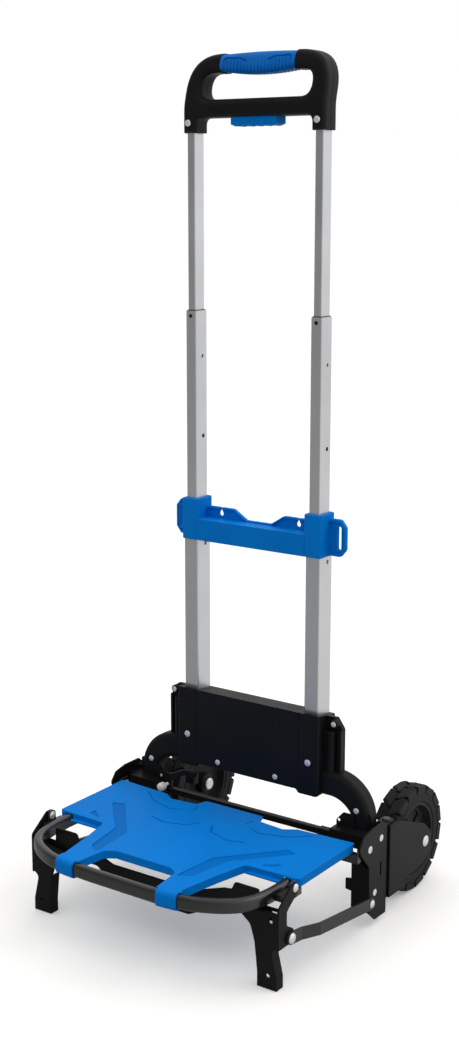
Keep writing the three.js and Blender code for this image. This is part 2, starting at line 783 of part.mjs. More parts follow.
function addBrackets() {
  const inside = bracket.outer - bracket.sheet;
  const sideShape = outline([
    [bracket.back, bracket.bottom, 2],
    [bracket.back, bracket.top - 6, 5],
    [bracket.back - 7, bracket.top, 3],
    [deckHinge.y + 4, bracket.top, 6],
    [deckHinge.y - 15, bracket.top - 4, 6],
    [deckHinge.y - 25, deckHinge.z + 8, 6],
    [deckHinge.y - 21, deckHinge.z, 4],
    [bracket.front - 1.5, deckHinge.z - 22, 6],
    [bracket.front, bracket.bottom + 13, 3],
    [-21, bracket.bottom, 2],
  ]);
  const slot = alongX(rectangle(-10.6, -7.6, 62, 80, 1.4), inside - 1, bracket.outer + 1);
  const side = cut(alongX(sideShape, inside, bracket.outer, 0, 2), slot);

  const edge = bracket.outer - bracket.flangeWidth;
  const armOuter = bracket.outer - bracket.armOuter;
  const flange = alongY(outline([
    [inside + 1, bracket.bottom + 13],
    [inside + 1, deckHinge.z - 26],
    [edge + 8, deckHinge.z - 16, 4],
    [edge, deckHinge.z - 20, 3],
    [edge, 61],
    [edge - 8, 60, 1],
    [edge - 8, 46, 1],
    [edge, 45],
    [edge, bracket.bottom + 15, 2],
  ]), bracket.front, bracket.front + bracket.sheet);

  // arm towards the cross rod: front strip, shelf under the housing arm, upright plates inside it
  const knobEdge = latch.knobX + latch.knobRadius + 1.4;
  const strip = join(
    box(bracket.outer - bracket.armLength, knobEdge + 2, strapFront, crossRod.front - seat,
      bracket.armLow, latch.knobZ - 7),
    box(knobEdge, armOuter, strapFront, crossRod.front - seat, bracket.armLow, armTop),
  );
  const shelfLow = armTop - bracket.sheet;
  const shelf = join(
    box(knobEdge, armOuter, strapFront, insideTongue + bracket.sheet, shelfLow, armTop),
    box(edge - 7, inside + 1, deckHinge.y + deckEar.radius + 2, bracket.back, shelfLow, armTop),
  );
  const gusset = alongY(outline([
    [knobEdge + 0.5, armTop - 1],
    [knobEdge + 25, armTop - 1],
    [knobEdge + 25, armTop + 17, 3],
    [knobEdge + 9, armTop + 17, 2],
    [knobEdge + 0.5, armTop + 7, 2],
  ]), insideTongue, insideTongue + bracket.sheet);
  const tongue = alongY(rectangle(edge + 2, edge + 12, armTop - 1, armTop + 20, 3), insideTongue,
    insideTongue + bracket.sheet);
  const rearLeg = box(inside - 14, inside + 1, bracket.back - bracket.sheet, bracket.back,
    bracket.bottom + 12, armTop);

  // two lugs that hold the wheel carrier's pin
  const shoulder = arm.centreX + arm.outerRadius + 0.6;
  const lugShape = outline([
    [inside + 1, bracket.back - 14],
    [inside + 1, wheelHinge.y],
    [wheelHinge.x + 7, wheelHinge.y + 8, 7],
    [wheelHinge.x - 8, wheelHinge.y + 8, 7],
    [wheelHinge.x - 8, arm.back + 0.6, 2],
    [shoulder, arm.back + 0.6],
    [shoulder, bracket.back - 14],
  ]);
  const upperLug = carrier.top + seat;
  const lowerLug = carrier.bottom - seat - carrier.lugSheet;
  const lugs = [lowerLug, upperLug].map((z) => alongZ(lugShape, z, z + carrier.lugSheet, 0, 2));
  const lowerLugRoot = box(wheelHinge.x - 8, inside + 1, bracket.back - 1, arm.back + 2,
    lowerLug, lowerLug + carrier.lugSheet);
  const pinRoom = barZ(wheelHinge.pinRadius + 0.15, 0, 200, wheelHinge.x, wheelHinge.y, 8);
  const hingeRoom = barX(rivet.hole, inside - 4, bracket.outer + 5, deckHinge.y, deckHinge.z);
  const linkRoom = barX(rivet.hole, inside - 4, bracket.outer + 5, linkRear.y, linkRear.z);
  const whole = join(side, flange, strip, shelf, gusset, tongue, rearLeg, ...lugs, lowerLugRoot);
  const latchRoom = barY(rivet.hole, insideTongue - 1, insideTongue + 4, latch.x, latch.z);
  addPair('corner_bracket', cut(whole, pinRoom, hingeRoom, linkRoom, latchRoom), finishes.blackSteel);

  const rodEnd = latch.knobX - 5.5;
  const rod = box(-rodEnd, rodEnd, crossRod.front, crossRod.back, crossRod.bottom, crossRod.top);
  add('cross_rod', rod, finishes.blackSteel);

  const hingeStart = new THREE.Vector3(deckEar.inner, deckHinge.y, deckHinge.z);
  const pin = flushRivet(bracket.outer - deckEar.inner, axisX, hingeStart);
  addPair('deck_hinge_pin', pin, finishes.rivetSteel);
}

// ---- deck frame ----------------------------------------------------------------------------------

// centre line of the bent tube, from the right side round the front to the left side
function deckCurve() {
  const { side, front, z } = deckTube;
  const right = [
    [side, front + 126],
    [side, front + 93],
    [side - 1.5, front + 70],
    [side - 6, front + 49],
    [side - 14, front + 34],
    [side - 25, front + 23.5],
    [side - 38, front + 15.5],
    [side - 61, front + 6],
    [side - 101, front + 1],
  ];
  const left = right.map(([x, y]) => [-x, y]).reverse();
  const points = [...right, [0, front], ...left].map(([x, y]) => new THREE.Vector3(x, y, z));
  return new THREE.CatmullRomCurve3(points, false, 'centripetal');
}

function tubeAlong(curve, grow, steps) {
  const high = deckTube.height / 2 + grow;
  const half = deckTube.width / 2 + grow;
  const shape = rectangle(-high, high, -half, half, deckTube.radius + grow);
  return solid(new THREE.ExtrudeGeometry(shape, { steps, extrudePath: curve, curveSegments: 2 }));
}

// stretch of the front bend between two distances from the middle
function frontCurve(from, to) {
  const curve = deckCurve();
  const points = [];
  for (let i = 0; i <= 300; i += 1) {
    const point = curve.getPointAt(i / 600);
    if (point.x >= from && point.x <= to) points.push(point);
  }
  return new THREE.CatmullRomCurve3(points);
}

function addDeckFrame() {
  const { side, width, height, radius, wall, z, front } = deckTube;
  const rail = (grow, from, to) => alongY(rectangle(side - width / 2 - grow, side + width / 2 + grow,
    z - height / 2 - grow, z + height / 2 + grow, radius + grow), from, to, 0, 2);
  const sideRail = cut(rail(0, front + 125, deckRear.back - 2), rail(-wall, -90, deckRear.back));
  const bend = tubeAlong(deckCurve(), 0, 32);

  const ear = alongX(outline([
    [deckRear.front, deckRear.bottom, 2],
    [deckHinge.y - 6, deckHinge.z - deckEar.radius, 4],
    [deckHinge.y + deckEar.radius, deckHinge.z - deckEar.radius, deckEar.radius - 0.4],
    [deckHinge.y + deckEar.radius, deckHinge.z + deckEar.radius, deckEar.radius - 0.4],
    [deckHinge.y - 10, deckHinge.z + deckEar.radius, 6],
    [deckRear.front, deckRear.top, 3],
  ]), deckEar.inner, deckEar.inner + deckEar.sheet, 0, 2);
  const lugOuter = leg.outer - leg.sheet - seat;
  const lugInner = lugOuter - leg.sheet;
  const lug = alongX(outline([
    [legHinge.y - leg.eye - 1, z - 7, 1],
    [legHinge.y + leg.eye + 1, z - 7, 1],
    [legHinge.y + leg.eye, legHinge.z + leg.eye, leg.eye - 0.3],
    [legHinge.y - leg.eye, legHinge.z + leg.eye, leg.eye - 0.3],
  ]), lugInner, lugOuter, 0, 2);
  const web = box(side, lugOuter, legHinge.y - 15, legHinge.y + 17, z - 7, z + 1.6);
  const halves = [sideRail, ear, lug, web].flatMap((body) => [body, mirrored(body)]);
  const cross = box(-deckEar.inner - 1, deckEar.inner + 1, deckRear.front, deckRear.back,
    deckRear.bottom, deckRear.top);
  const holes = [
    barX(rivet.hole, deckEar.inner - 4, bracket.outer, deckHinge.y, deckHinge.z),
    barX(rivet.hole, lugInner - 1, bracket.outer, legHinge.y, legHinge.z),
  ].flatMap((body) => [body, mirrored(body)]);
  add('deck_frame', cut(join(bend, cross, ...halves), ...holes), finishes.blackSteel);
  const legStart = new THREE.Vector3(lugInner, legHinge.y, legHinge.z);
  addPair('leg_pin', rivetBody(leg.outer - lugInner, axisX, legStart), finishes.rivetSteel);
}

// ---- deck panel ----------------------------------------------------------------------------------

function addDeckPanel() {
  const underside = deckTube.z + deckTube.height / 2 + seat;
  const top = underside + deck.skin;
  const plate = alongZ(outline(mirroredOutline([
    [43, deck.rear + 4, 3],
    [48, -61, 4],
    [84, -65, 5],
    [99, -55, 5],
    [deck.half, deck.rear, 3],
    [deck.half, deck.wideFront, 3],
    [105, deck.wideFront - 3, 6],
    [95, -218, 6],
    [deck.clipOuter - 2, deckTube.front + 11, 2],
    [deck.clipOuter, deckTube.front + 4],
    [deck.clipInner, deckTube.front + 1],
    [52, -238, 6],
    [40, -230, 4],
  ].reverse())), underside, top, 0, 2);

  const wall = deck.skirtWall;
  const skirts = [
    box(deck.half - wall, deck.half, deck.wideFront + 4, deck.rear - 3, top - deck.skirt, underside + 1),
    box(108, deck.half - 3, deck.wideFront - 1.5, deck.wideFront + 0.5, top - 9, underside + 1),
    box(108, deck.half - 3, deck.wideFront - 7, deck.wideFront + 0.5, top - 9, top - 9 + deck.skin),
  ];

  // hooks that hold the front tube from above, open at the lower back
  const clip = tubeAlong(frontCurve(deck.clipInner, deck.clipOuter), seat + deck.skin, 4);
  const clipRoom = tubeAlong(frontCurve(deck.clipInner - 6, deck.clipOuter + 6), seat, 6);
  const clipOpening = box(deck.clipInner - 2, deck.clipOuter + 2, deckTube.front + 7.5, -200,
    0, deckTube.z + 1);

  const railRoom = alongY(rectangle(deckTube.side - deckTube.width / 2 - seat,
    deckTube.side + deckTube.width / 2 + seat, deckTube.z - deckTube.height / 2 - seat, underside,
    deckTube.radius), deckTube.front + 94, 0, 0, 2);

  // pressed pattern in the top
  const floor = top - deck.recess;
  const bands = [
    [[138, -118, 2], [84, -178, 3], [74, -234, 2], [57, -245, 2], [63, -181, 3], [122, -112, 2]],
    [[140, -149, 2], [138, -161, 2], [116, -168, 2]],
    [[70, -126, 1], [48, -132, 2], [17, -123, 2], [8, -106, 1], [10, -105.5, 0], [19, -121, 2],
      [48, -129.6, 2], [70, -123.6, 1]],
    [[124, -64, 1], [102, -83, 2], [68, -94, 3], [38, -78, 2], [40, -66, 1], [42.2, -66, 0],
      [40.2, -79, 2], [68, -91.6, 3], [101, -80.8, 2], [122.4, -62.4, 0]],
  ];
  const recesses = bands.map((corners) => alongZ(outline(corners), floor, top + 2));
  const both = recesses.flatMap((body) => [body, mirrored(body)]);
  const halves = [...skirts, cut(clip, clipOpening)].flatMap((body) => [body, mirrored(body)]);
  const rooms = [railRoom, clipRoom].flatMap((body) => [body, mirrored(body)]);
  const whole = cut(join(plate, ...halves), ...rooms, ...both);
  add('deck_panel', whole, finishes.bluePlastic);
}

// ---- legs and links --------------------------------------------------------------------------------

function capsule(from, to, radius) {
  const shape = new THREE.Shape();
  const angle = Math.atan2(to.z - from.z, to.y - from.y);
  shape.absarc(to.y, to.z, radius, angle - Math.PI / 2, angle + Math.PI / 2);
  shape.absarc(from.y, from.z, radius, angle + Math.PI / 2, angle + 1.5 * Math.PI);
  shape.closePath();
  return shape;
}

function addLegsAndLinks() {
  const plateX = leg.outer - leg.sheet;
  const upperLow = linkFront.z - 8;
  const side = alongX(outline([
    [leg.back, upperLow, 3],
    [linkFront.y + 9, upperLow, 6],
    [linkFront.y + 9, linkFront.z + 8, 6],
    [leg.back, linkFront.z + 16, 5],
    [leg.back, leg.flangeTop - 2, 6],
    [legHinge.y + leg.eye, legHinge.z - leg.eye, 5],
    [legHinge.y + leg.eye, legHinge.z + leg.eye, leg.eye - 0.3],
    [legHinge.y - leg.eye, legHinge.z + leg.eye, leg.eye - 0.3],
    [leg.front, leg.flangeTop + 6, 8],
    [leg.front, upperLow],
  ]), plateX, leg.outer, 0, 2);

  // the face leans outwards from the waist to the foot, with a flange down both edges
  const footX = leg.outer - leg.footInset;
  const waistX = leg.outer - leg.waistInset;
  const inner = footX - leg.foot;
  const innerWaist = leg.outer - leg.width - 6;
  const outerEdge = [[footX, 0], [footX, 15], [waistX, leg.waist], [leg.outer, upperLow + 2]];
  const innerEdge = [[inner, 0], [inner, 17], [innerWaist, leg.waist + 6]];
  const face = alongY(outline([
    ...outerEdge,
    [leg.outer, leg.flangeTop, 2],
    [leg.outer - 13, leg.flangeTop + 1, 4],
    [innerWaist - 26, leg.flangeTop - 6, 2],
    [innerWaist - 21, leg.flangeTop - 9, 3],
    [innerWaist - 6, leg.flangeTop - 20, 9],
    ...[...innerEdge].reverse(),
  ]), leg.front, leg.front + leg.sheet, 0, 2);
  const flanges = [
    [...outerEdge, [plateX, upperLow + 3], [waistX - leg.sheet, leg.waist + 2], [footX - leg.sheet, 15],
      [footX - leg.sheet, 0]],
    [...innerEdge, [innerWaist + leg.sheet, leg.waist + 6], [inner + leg.sheet, 17], [inner + leg.sheet, 0]],
  ].map((corners) => alongY(outline(corners), leg.front + 1, leg.flangeBack));
  const slotX = leg.outer - 11;
  const slot = alongY(rectangle(slotX - 2.2, slotX + 2.2, 79, 88, 2.1), leg.front - 1, leg.front + 4);
  const hole = barY(2.6, leg.front - 1, leg.front + 4, footX - 0.45 * leg.foot, 16);
  const pinRooms = [
    barX(rivet.hole, plateX - 1, bracket.outer, legHinge.y, legHinge.z),
    barX(rivet.hole, plateX - 1, bracket.outer, linkFront.y, linkFront.z),
  ];
  addPair('leg', cut(join(side, face, ...flanges), slot, hole, ...pinRooms), finishes.blackSteel);

  // plate between the side plates of the two legs, lower in the middle, with a raised end by each leg
  const end = plateX - seat;
  const { hump, low, high, shoulder } = legPlate;
  const plate = alongY(outline(mirroredOutline([
    [hump, low, 3],
    [hump + 13, low + 6, 4],
    [hump + 33, shoulder, 6],
    [end, shoulder],
    [end, leg.flangeTop + 2, 3],
    [deckTube.side - deckTube.width, leg.flangeTop + 2],
    [deckTube.side - deckTube.width - 1, deckTube.z + 6.5, 3],
    [deckTube.side - 45, deckTube.z + 6.5, 4],
    [deckTube.side - 49, deckTube.z - 3, 3],
    [deckTube.side - 60, deckTube.z - 4.5, 5],
    [hump + 9, high, 8],
  ])), legPlate.front, legPlate.back, 0, 2);
  add('leg_cross_plate', plate, finishes.blackSteel);

  // flat link: side view cut from a strip that steps outwards past the bracket
  const reach = [plateX - 5, bracket.outer + 15];
  const inX = leg.outer + seat + 0.2;
  const outX = bracket.outer + seat + 0.2;
  const strip = alongZ(outline([
    [inX, linkFront.y - 20],
    [inX + link.sheet, linkFront.y - 20],
    [inX + link.sheet, link.jogStart, 6],
    [outX + link.sheet, link.jogEnd, 6],
    [outX + link.sheet, linkRear.y + 20],
    [outX, linkRear.y + 20],
    [outX, link.jogEnd + 1, 6],
    [inX, link.jogStart + 1, 6],
  ]), 0, 120);
  const bar = strip.intersect(alongX(capsule(linkFront, linkRear, link.width / 2), ...reach, 0, 5));
  const frontRoom = barX(rivet.shank + link.slack, ...reach, linkFront.y, linkFront.z, 7);
  const rearRoom = barX(rivet.hole, ...reach, linkRear.y, linkRear.z);
  addPair('link', cut(bar, frontRoom, rearRoom), finishes.greySteel);

  const front = new THREE.Vector3(plateX, linkFront.y, linkFront.z);
  addPair('link_front_pin', rivetBody(inX + link.sheet - plateX, axisX, front, 6.3), finishes.rivetSteel);
  const inside = bracket.outer - bracket.sheet;
  const rear = new THREE.Vector3(outX + link.sheet, linkRear.y, linkRear.z);
  const rearPin = flushRivet(rear.x - inside, axisX.clone().negate(), rear);
  addPair('link_rear_pin', rearPin, finishes.rivetSteel);
}

// ---- wheels ------------------------------------------------------------------------------------------

function addWheels() {
  const axleZ = wheel.radius;
  const plateX = carrier.outer - carrier.sheet;
  const carrierShape = outline([
    [wheelHinge.y - 9, carrier.bottom, 2],
    [wheelHinge.y + 14, carrier.bottom - 3, 3],
    [wheelHinge.y + 24, carrier.bottom - 2, 3],
    [wheelHinge.y + 28, carrier.bottom + 6, 6],
    [wheel.y, axleZ - 26, 16],
    [wheel.y + 17, axleZ - 16, 10],
    [wheel.y + 16, axleZ + 8, 12],
    [wheel.y - 2, axleZ + 24, 16],
    [wheelHinge.y + 15, carrier.top - 1, 12],
    [wheelHinge.y - 9, carrier.top, 2],
  ]);
  const plate = alongX(carrierShape, plateX, carrier.outer, 1, 3);
  const barrel = barZ(wheelHinge.barrelRadius, carrier.bottom, carrier.top, wheelHinge.x, wheelHinge.y, 8);
  const hubGap = 0.6;
  const hubEnd = wheel.x + wheel.width / 2 + 2;
  const boss = barX(9, hubEnd + hubGap, plateX + 1, wheel.y, axleZ, 7);
  const rib = (z) => box(wheelHinge.x + 2, plateX + 1, wheelHinge.y, wheelHinge.y + 16, z - 1.5, z + 1.5);
  const ribs = [rib(axleZ - 22), rib(axleZ + 22)];
  const pinRoom = barZ(wheelHinge.pinRadius + running, 0, 200, wheelHinge.x, wheelHinge.y);
  const axleRoom = barX(axle.radius + 0.15, wheel.x, carrier.outer + 5, wheel.y, axleZ, 7);
  const lugSpace = box(wheelHinge.x - 20, carrier.outer + 5, 0, wheelHinge.y + 11, 0, carrier.bottom);
  const body = cut(join(cut(plate, lugSpace), barrel, boss, ...ribs), pinRoom, axleRoom);
  addPair('wheel_carrier', body, finishes.blackPlastic);

  const pinLow = carrier.bottom - carrier.lugSheet - seat;
  const pinTop = carrier.top + carrier.lugSheet + seat;
  const radius = wheelHinge.pinRadius;
  const hingePin = turned([
    [0, pinLow - 2.2],
    [radius + 0.8, pinLow - 2.2],
    [radius + 2, pinLow - 0.15],
    [radius, pinLow - 0.15],
    [radius, pinTop + 0.15],
    [radius + 2, pinTop + 0.15],
    [radius + 0.8, pinTop + 2.2],
    [0, pinTop + 2.2],
  ], axisZ, new THREE.Vector3(wheelHinge.x, wheelHinge.y, 0), 10);
  addPair('carrier_pin', hingePin, finishes.greySteel);

  const centre = new THREE.Vector3(wheel.x, wheel.y, axleZ);
  const half = wheel.width / 2;
  const bore = axle.radius + running;
  const rim = turned([
    [bore, -half - 1],
    [wheel.hubRadius, -half - 1],
    [wheel.hubRadius, -4],
    [wheel.rimRadius - 9, -3],
    [wheel.rimRadius - 4, -half + 1.5],
    [wheel.rimRadius, -half + 1.5],
    [wheel.rimRadius, half - 1.5],
    [wheel.rimRadius - 4, half - 1.5],
    [wheel.rimRadius - 9, 3],
    [wheel.hubRadius, 4],
    [wheel.hubRadius, hubEnd - wheel.x],
    [bore, hubEnd - wheel.x],
    [bore, -half - 1],
  ], axisX, centre, 28);
  addPair('wheel_rim', rim, finishes.blackPlastic);

  const seatRadius = wheel.rimRadius + 0.2;
  const treadRadius = wheel.radius - wheel.lugDepth;
  const carcass = turned([
    [seatRadius, -half + 1],
    [treadRadius - 6, -half + 1],
    [treadRadius, -half + 4],
    [treadRadius, half - 4],
    [treadRadius - 6, half - 1],
    [seatRadius, half - 1],
    [seatRadius, -half + 1],
  ], axisX, centre, 28);
  const lugAngle = 360 / wheel.lugs;
  const lugs = [];
  for (let i = 0; i < wheel.lugs; i += 1) {
    for (const side of [-1, 1]) {
      const turn = THREE.MathUtils.degToRad((i + (side > 0 ? 0.5 : 0)) * lugAngle);
      const block = new THREE.Shape();
      const spread = THREE.MathUtils.degToRad(0.31 * lugAngle);
      const root = treadRadius - 7.5;
      block.moveTo(root * Math.cos(spread), root * Math.sin(spread));
      block.lineTo(root * Math.cos(spread), -root * Math.sin(spread));
      block.lineTo(wheel.radius * Math.cos(0.8 * spread), -wheel.radius * Math.sin(0.8 * spread));
      block.lineTo(wheel.radius * Math.cos(0.8 * spread), wheel.radius * Math.sin(0.8 * spread));
      block.closePath();
      const geometry = new THREE.ExtrudeGeometry(block, { depth: half - 1.5, bevelEnabled: false });
      if (side < 0) geometry.translate(0, 0, -half);
      else geometry.translate(0, 0, 1.5);
      geometry.rotateZ(turn);
      geometry.applyMatrix4(new THREE.Matrix4().makeBasis(axisY, axisZ, axisX).setPosition(centre));
      lugs.push(solid(geometry));
    }
  }
  addPair('tyre', join(carcass, ...lugs), finishes.rubber);

  const outerFace = carrier.outer + 0.15;
  const axleBody = turned([
    [0, axle.inner - 3],
    [axle.radius + 2, axle.inner - 3],
    [axle.radius + 3, axle.inner - 2],
    [axle.radius + 3, axle.inner],
    [axle.radius, axle.inner],
    [axle.radius, outerFace],
    [axle.head, outerFace],
    [axle.head, outerFace + 0.8],
    [axle.head - 2, outerFace + 2],
    [0, outerFace + 2.4],
  ], axisX, new THREE.Vector3(0, wheel.y, axleZ), 14);
  addPair('axle', axleBody, finishes.rivetSteel);
}

// ---- folding latch -------------------------------------------------------------------------------------

function addLatch() {
  const { x, z, knobX, knobZ } = latch;
  const bar = alongY(outline([
    [-x - 5.6, z - 5.6, 5],
    [-knobX - 5.4, z - 5.6, 1],
    [-knobX - 5, knobZ - 4.5, 4],
    [-knobX + 5, knobZ - 4.5, 4],
    [-knobX + 6, z - 4, 4],
    [37 - x, z + 7.5, 6],
    [57 - x, z + 8.5, 2],
    [57 - x, z + 15, 3],
    [36 - x, z + 15, 8],
    [15 - x, z + 5, 6],
    [-x - 5.6, z + 5.6, 5],
  ]), latch.front, latch.back, 0, 2);
  const pad = box(40 - x, 54 - x, latch.front, latch.back + 3.6, z - 1.5, z + 10.5);
  const grooves = [];
  for (let gx = 42 - x; gx <= 53 - x; gx += 3.6) {
    grooves.push(box(gx - 0.6, gx + 0.6, 2 * latch.front, latch.front + 0.7, z - 0.5, z + 7.5));
  }
  const pinRoom = barY(rivet.hole, -40, 0, -x, z);
  const knobRoom = barY(2.65, latch.back - 3.5, latch.back + 1, -knobX, knobZ);
  const forward = barY(2.65, latch.front - 1, latch.front + 3, -knobX, knobZ);
  add('latch_lever', cut(join(bar, pad), ...grooves, pinRoom, forward, knobRoom.intersect(forward)),
    finishes.blackSteel);
  const knob = turned([
    [0, -18],
    [3.6, -17.2],
    [latch.knobRadius, -14.5],
    [latch.knobRadius, -9],
    [latch.knobRadius - 1, -8.2],
    [2.4, -8.2],
    [2.4, 2.5],
    [0, 2.5],
  ], axisY, new THREE.Vector3(-knobX, latch.front, knobZ), 12);
  add('latch_knob', knob, finishes.whitePlastic);
  const rear = insideTongue + bracket.sheet;
  const pivot = turned([
    [0, latch.front + 0.1],
    [2, latch.front + 0.1],
    [2, rear + 0.15],
    [3.6, rear + 0.15],
    [3, rear + 1],
    [0, rear + 1],
  ], axisY, new THREE.Vector3(-x, 0, z), 10);
  add('latch_pivot', pivot, finishes.rivetSteel);
}

addTubes();
addTubeFittings();
addHandle();
addCrossBracket();
addHousing();
addBrackets();
addDeckFrame();
addDeckPanel();
addLegsAndLinks();
addWheels();
addLatch();

// the origin lies on the ground, under the middle of the whole truck
const extent = new THREE.Box3().setFromObject(truck);
truck.position.y = -(extent.min.y + extent.max.y) / 2;

export default truck;
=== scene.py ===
import json
import math

import bmesh
import bpy
from mathutils import Matrix, Vector


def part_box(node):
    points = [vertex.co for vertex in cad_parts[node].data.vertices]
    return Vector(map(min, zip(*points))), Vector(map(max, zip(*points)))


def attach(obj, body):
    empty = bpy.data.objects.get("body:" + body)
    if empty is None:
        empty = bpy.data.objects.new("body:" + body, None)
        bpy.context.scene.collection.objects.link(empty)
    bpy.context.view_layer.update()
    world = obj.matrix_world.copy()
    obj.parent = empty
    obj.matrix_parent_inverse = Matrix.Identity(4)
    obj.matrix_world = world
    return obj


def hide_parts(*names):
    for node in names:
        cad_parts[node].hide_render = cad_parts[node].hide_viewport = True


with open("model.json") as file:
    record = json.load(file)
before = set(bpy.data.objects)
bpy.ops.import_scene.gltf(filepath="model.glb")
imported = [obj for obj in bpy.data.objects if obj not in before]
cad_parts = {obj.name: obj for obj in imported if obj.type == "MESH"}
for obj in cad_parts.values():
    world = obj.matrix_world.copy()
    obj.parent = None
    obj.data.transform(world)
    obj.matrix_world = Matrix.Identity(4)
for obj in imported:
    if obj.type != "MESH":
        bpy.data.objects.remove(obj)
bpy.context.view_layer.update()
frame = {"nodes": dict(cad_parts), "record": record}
scene = bpy.context.scene

# sizes below are in millimetres, measured from the middle plane of the mast tubes
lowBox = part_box("lower_tube_right")
mastY = (lowBox[0].y + lowBox[1].y) / 2


def spanOf(node):  # lowest and highest corner of a node, in the same millimetres
    low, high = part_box(node)
    shift = Vector((0, mastY, 0))
    return (low - shift) * 1000, (high - shift) * 1000


# outlines

def roundCorners(corners, steps=6):
    points = []
    count = len(corners)
    for i, corner in enumerate(corners):
        at = Vector(corner[:2])
        radius = corner[2] if len(corner) > 2 else 0
        back = Vector(corners[i - 1][:2]) - at
        ahead = Vector(corners[(i + 1) % count][:2]) - at
        half = back.angle(ahead) / 2
        if radius <= 0 or half > 1.56:
            points.append(at)
            continue
        reach = min(radius / math.tan(half), 0.49 * back.length, 0.49 * ahead.length)
        enter = at + back.normalized() * reach
        leave = at + ahead.normalized() * reach
        for k in range(steps + 1):
            t = k / steps
            points.append(enter * (1 - t) ** 2 + at * (2 * t * (1 - t)) + leave * t * t)
    return points


def bothSides(rightHalf):
    return rightHalf + [[-c[0], *c[1:]] for c in reversed(rightHalf)]


def rectangle(a0, a1, b0, b1, radius=0, steps=6):
    return roundCorners([[a0, b0, radius], [a1, b0, radius], [a1, b1, radius], [a0, b1, radius]], steps)


def arcPoints(a, b, radius, start, end, count=16):
    angles = [start + (end - start) * k / count for k in range(count + 1)]
    return [Vector((a + radius * math.cos(t), b + radius * math.sin(t))) for t in angles]


def circle(a, b, radius, count=32):
    return arcPoints(a, b, radius, 0, 2 * math.pi, count)[:-1]


def areaOf(loop):
    return sum(p.x * q.y - q.x * p.y for p, q in zip(loop, loop[1:] + loop[:1])) / 2


def insetLoop(loop, distance):
    moved = []
    for i, point in enumerate(loop):
        before = (point - loop[i - 1]).normalized()
        after = (loop[(i + 1) % len(loop)] - point).normalized()
        normal = Vector((-before.y, before.x))
        miter = normal + Vector((-after.y, after.x))
        miter = miter.normalized() if miter.length > 1e-6 else normal
        moved.append(point + miter * (distance / max(0.4, miter.dot(normal))))
    return moved


# pieces

planes = {
    "x": lambda a, b, c: Vector((c, a, b)),
    "y": lambda a, b, c: Vector((a, c, b)),
    "z": lambda a, b, c: Vector((a, b, c)),
}


def objectFrom(name, work):
    bmesh.ops.remove_doubles(work, verts=work.verts, dist=1e-4)
    bmesh.ops.recalc_face_normals(work, faces=work.faces)
    mesh = bpy.data.meshes.new(name)
    work.to_mesh(mesh)
    work.free()
    piece = bpy.data.objects.new(name, mesh)
    scene.collection.objects.link(piece)
    return piece


def slab(outer, low, high, plane, bevel=0.0, holes=(), steps=3, lowBevel=None, name="slab"):
    # flat piece with rounded edges, cut from an outline between two heights
    lowBevel = bevel if lowBevel is None else lowBevel
    work = bmesh.new()
    rings = []
    for k in range(steps + 1 if lowBevel else 1):
        t = math.pi / 2 * k / steps
        rings.append((lowBevel * (1 - math.sin(t)), low + lowBevel * (1 - math.cos(t))))
    for k in range(steps + 1 if bevel else 1):
        t = math.pi / 2 * (1 - k / steps)
        rings.append((bevel * (1 - math.sin(t)), high - bevel * (1 - math.cos(t))))
    caps = [[], []]
    for loop in [outer, *holes]:
        isHole = loop is not outer
        if (areaOf(loop) < 0) != isHole:
            loop = loop[::-1]
        made = []
        for inset, height in rings:
            flat = insetLoop(loop, inset) if inset else loop
            made.append([work.verts.new(planes[plane](p.x, p.y, height)) for p in flat])
        for first, second in zip(made, made[1:]):
            for i in range(len(first)):
                j = (i + 1) % len(first)
                work.faces.new((first[i], first[j], second[j], second[i]))
        caps[0].append(made[0])
        caps[1].append(made[-1])
    for loops in caps:
        if len(loops) == 1:
            work.faces.new(loops[0])
            continue
        edges = []
        for loop in loops:
            for i, vert in enumerate(loop):
                edge = work.edges.get((vert, loop[(i + 1) % len(loop)]))
                edges.append(edge or work.edges.new((vert, loop[(i + 1) % len(loop)])))
        bmesh.ops.triangle_fill(work, use_beauty=True, use_dissolve=False, edges=edges)
    return objectFrom(name, work)


def block(x0, x1, y0, y1, z0, z1, bevel=0.0, radius=0.0, steps=3):
    return slab(rectangle(x0, x1, y0, y1, radius), z0, z1, "z", bevel, steps=steps)


def spun(profile, centre, axis="x", count=48, name="spun"):
    # turned piece: [radius, distance] pairs round an axis through centre
    work = bmesh.new()
    turn = {"x": lambda r, t, d: Vector((d, r * math.cos(t), r * math.sin(t))),
            "y": lambda r, t, d: Vector((r * math.sin(t), d, r * math.cos(t))),
            "z": lambda r, t, d: Vector((r * math.cos(t), r * math.sin(t), d))}[axis]
    rings = []
    for radius, distance in profile:
        if radius < 1e-4:
            rings.append([work.verts.new(turn(0, 0, distance) + Vector(centre))])
        else:
            rings.append([work.verts.new(turn(radius, 2 * math.pi * k / count, distance) + Vector(centre))
                          for k in range(count)])
    pairs = list(zip(rings, rings[1:]))
    if len(rings[0]) > 1:
        pairs.append((rings[-1], rings[0]))
    for first, second in pairs:
        for k in range(count):
            j = (k + 1) % count
            if len(first) == 1:
                work.faces.new((first[0], second[k], second[j]))
            elif len(second) == 1:
                work.faces.new((first[k], first[j], second[0]))
            else:
                work.faces.new((first[k], first[j], second[j], second[k]))
    return objectFrom(name, work)


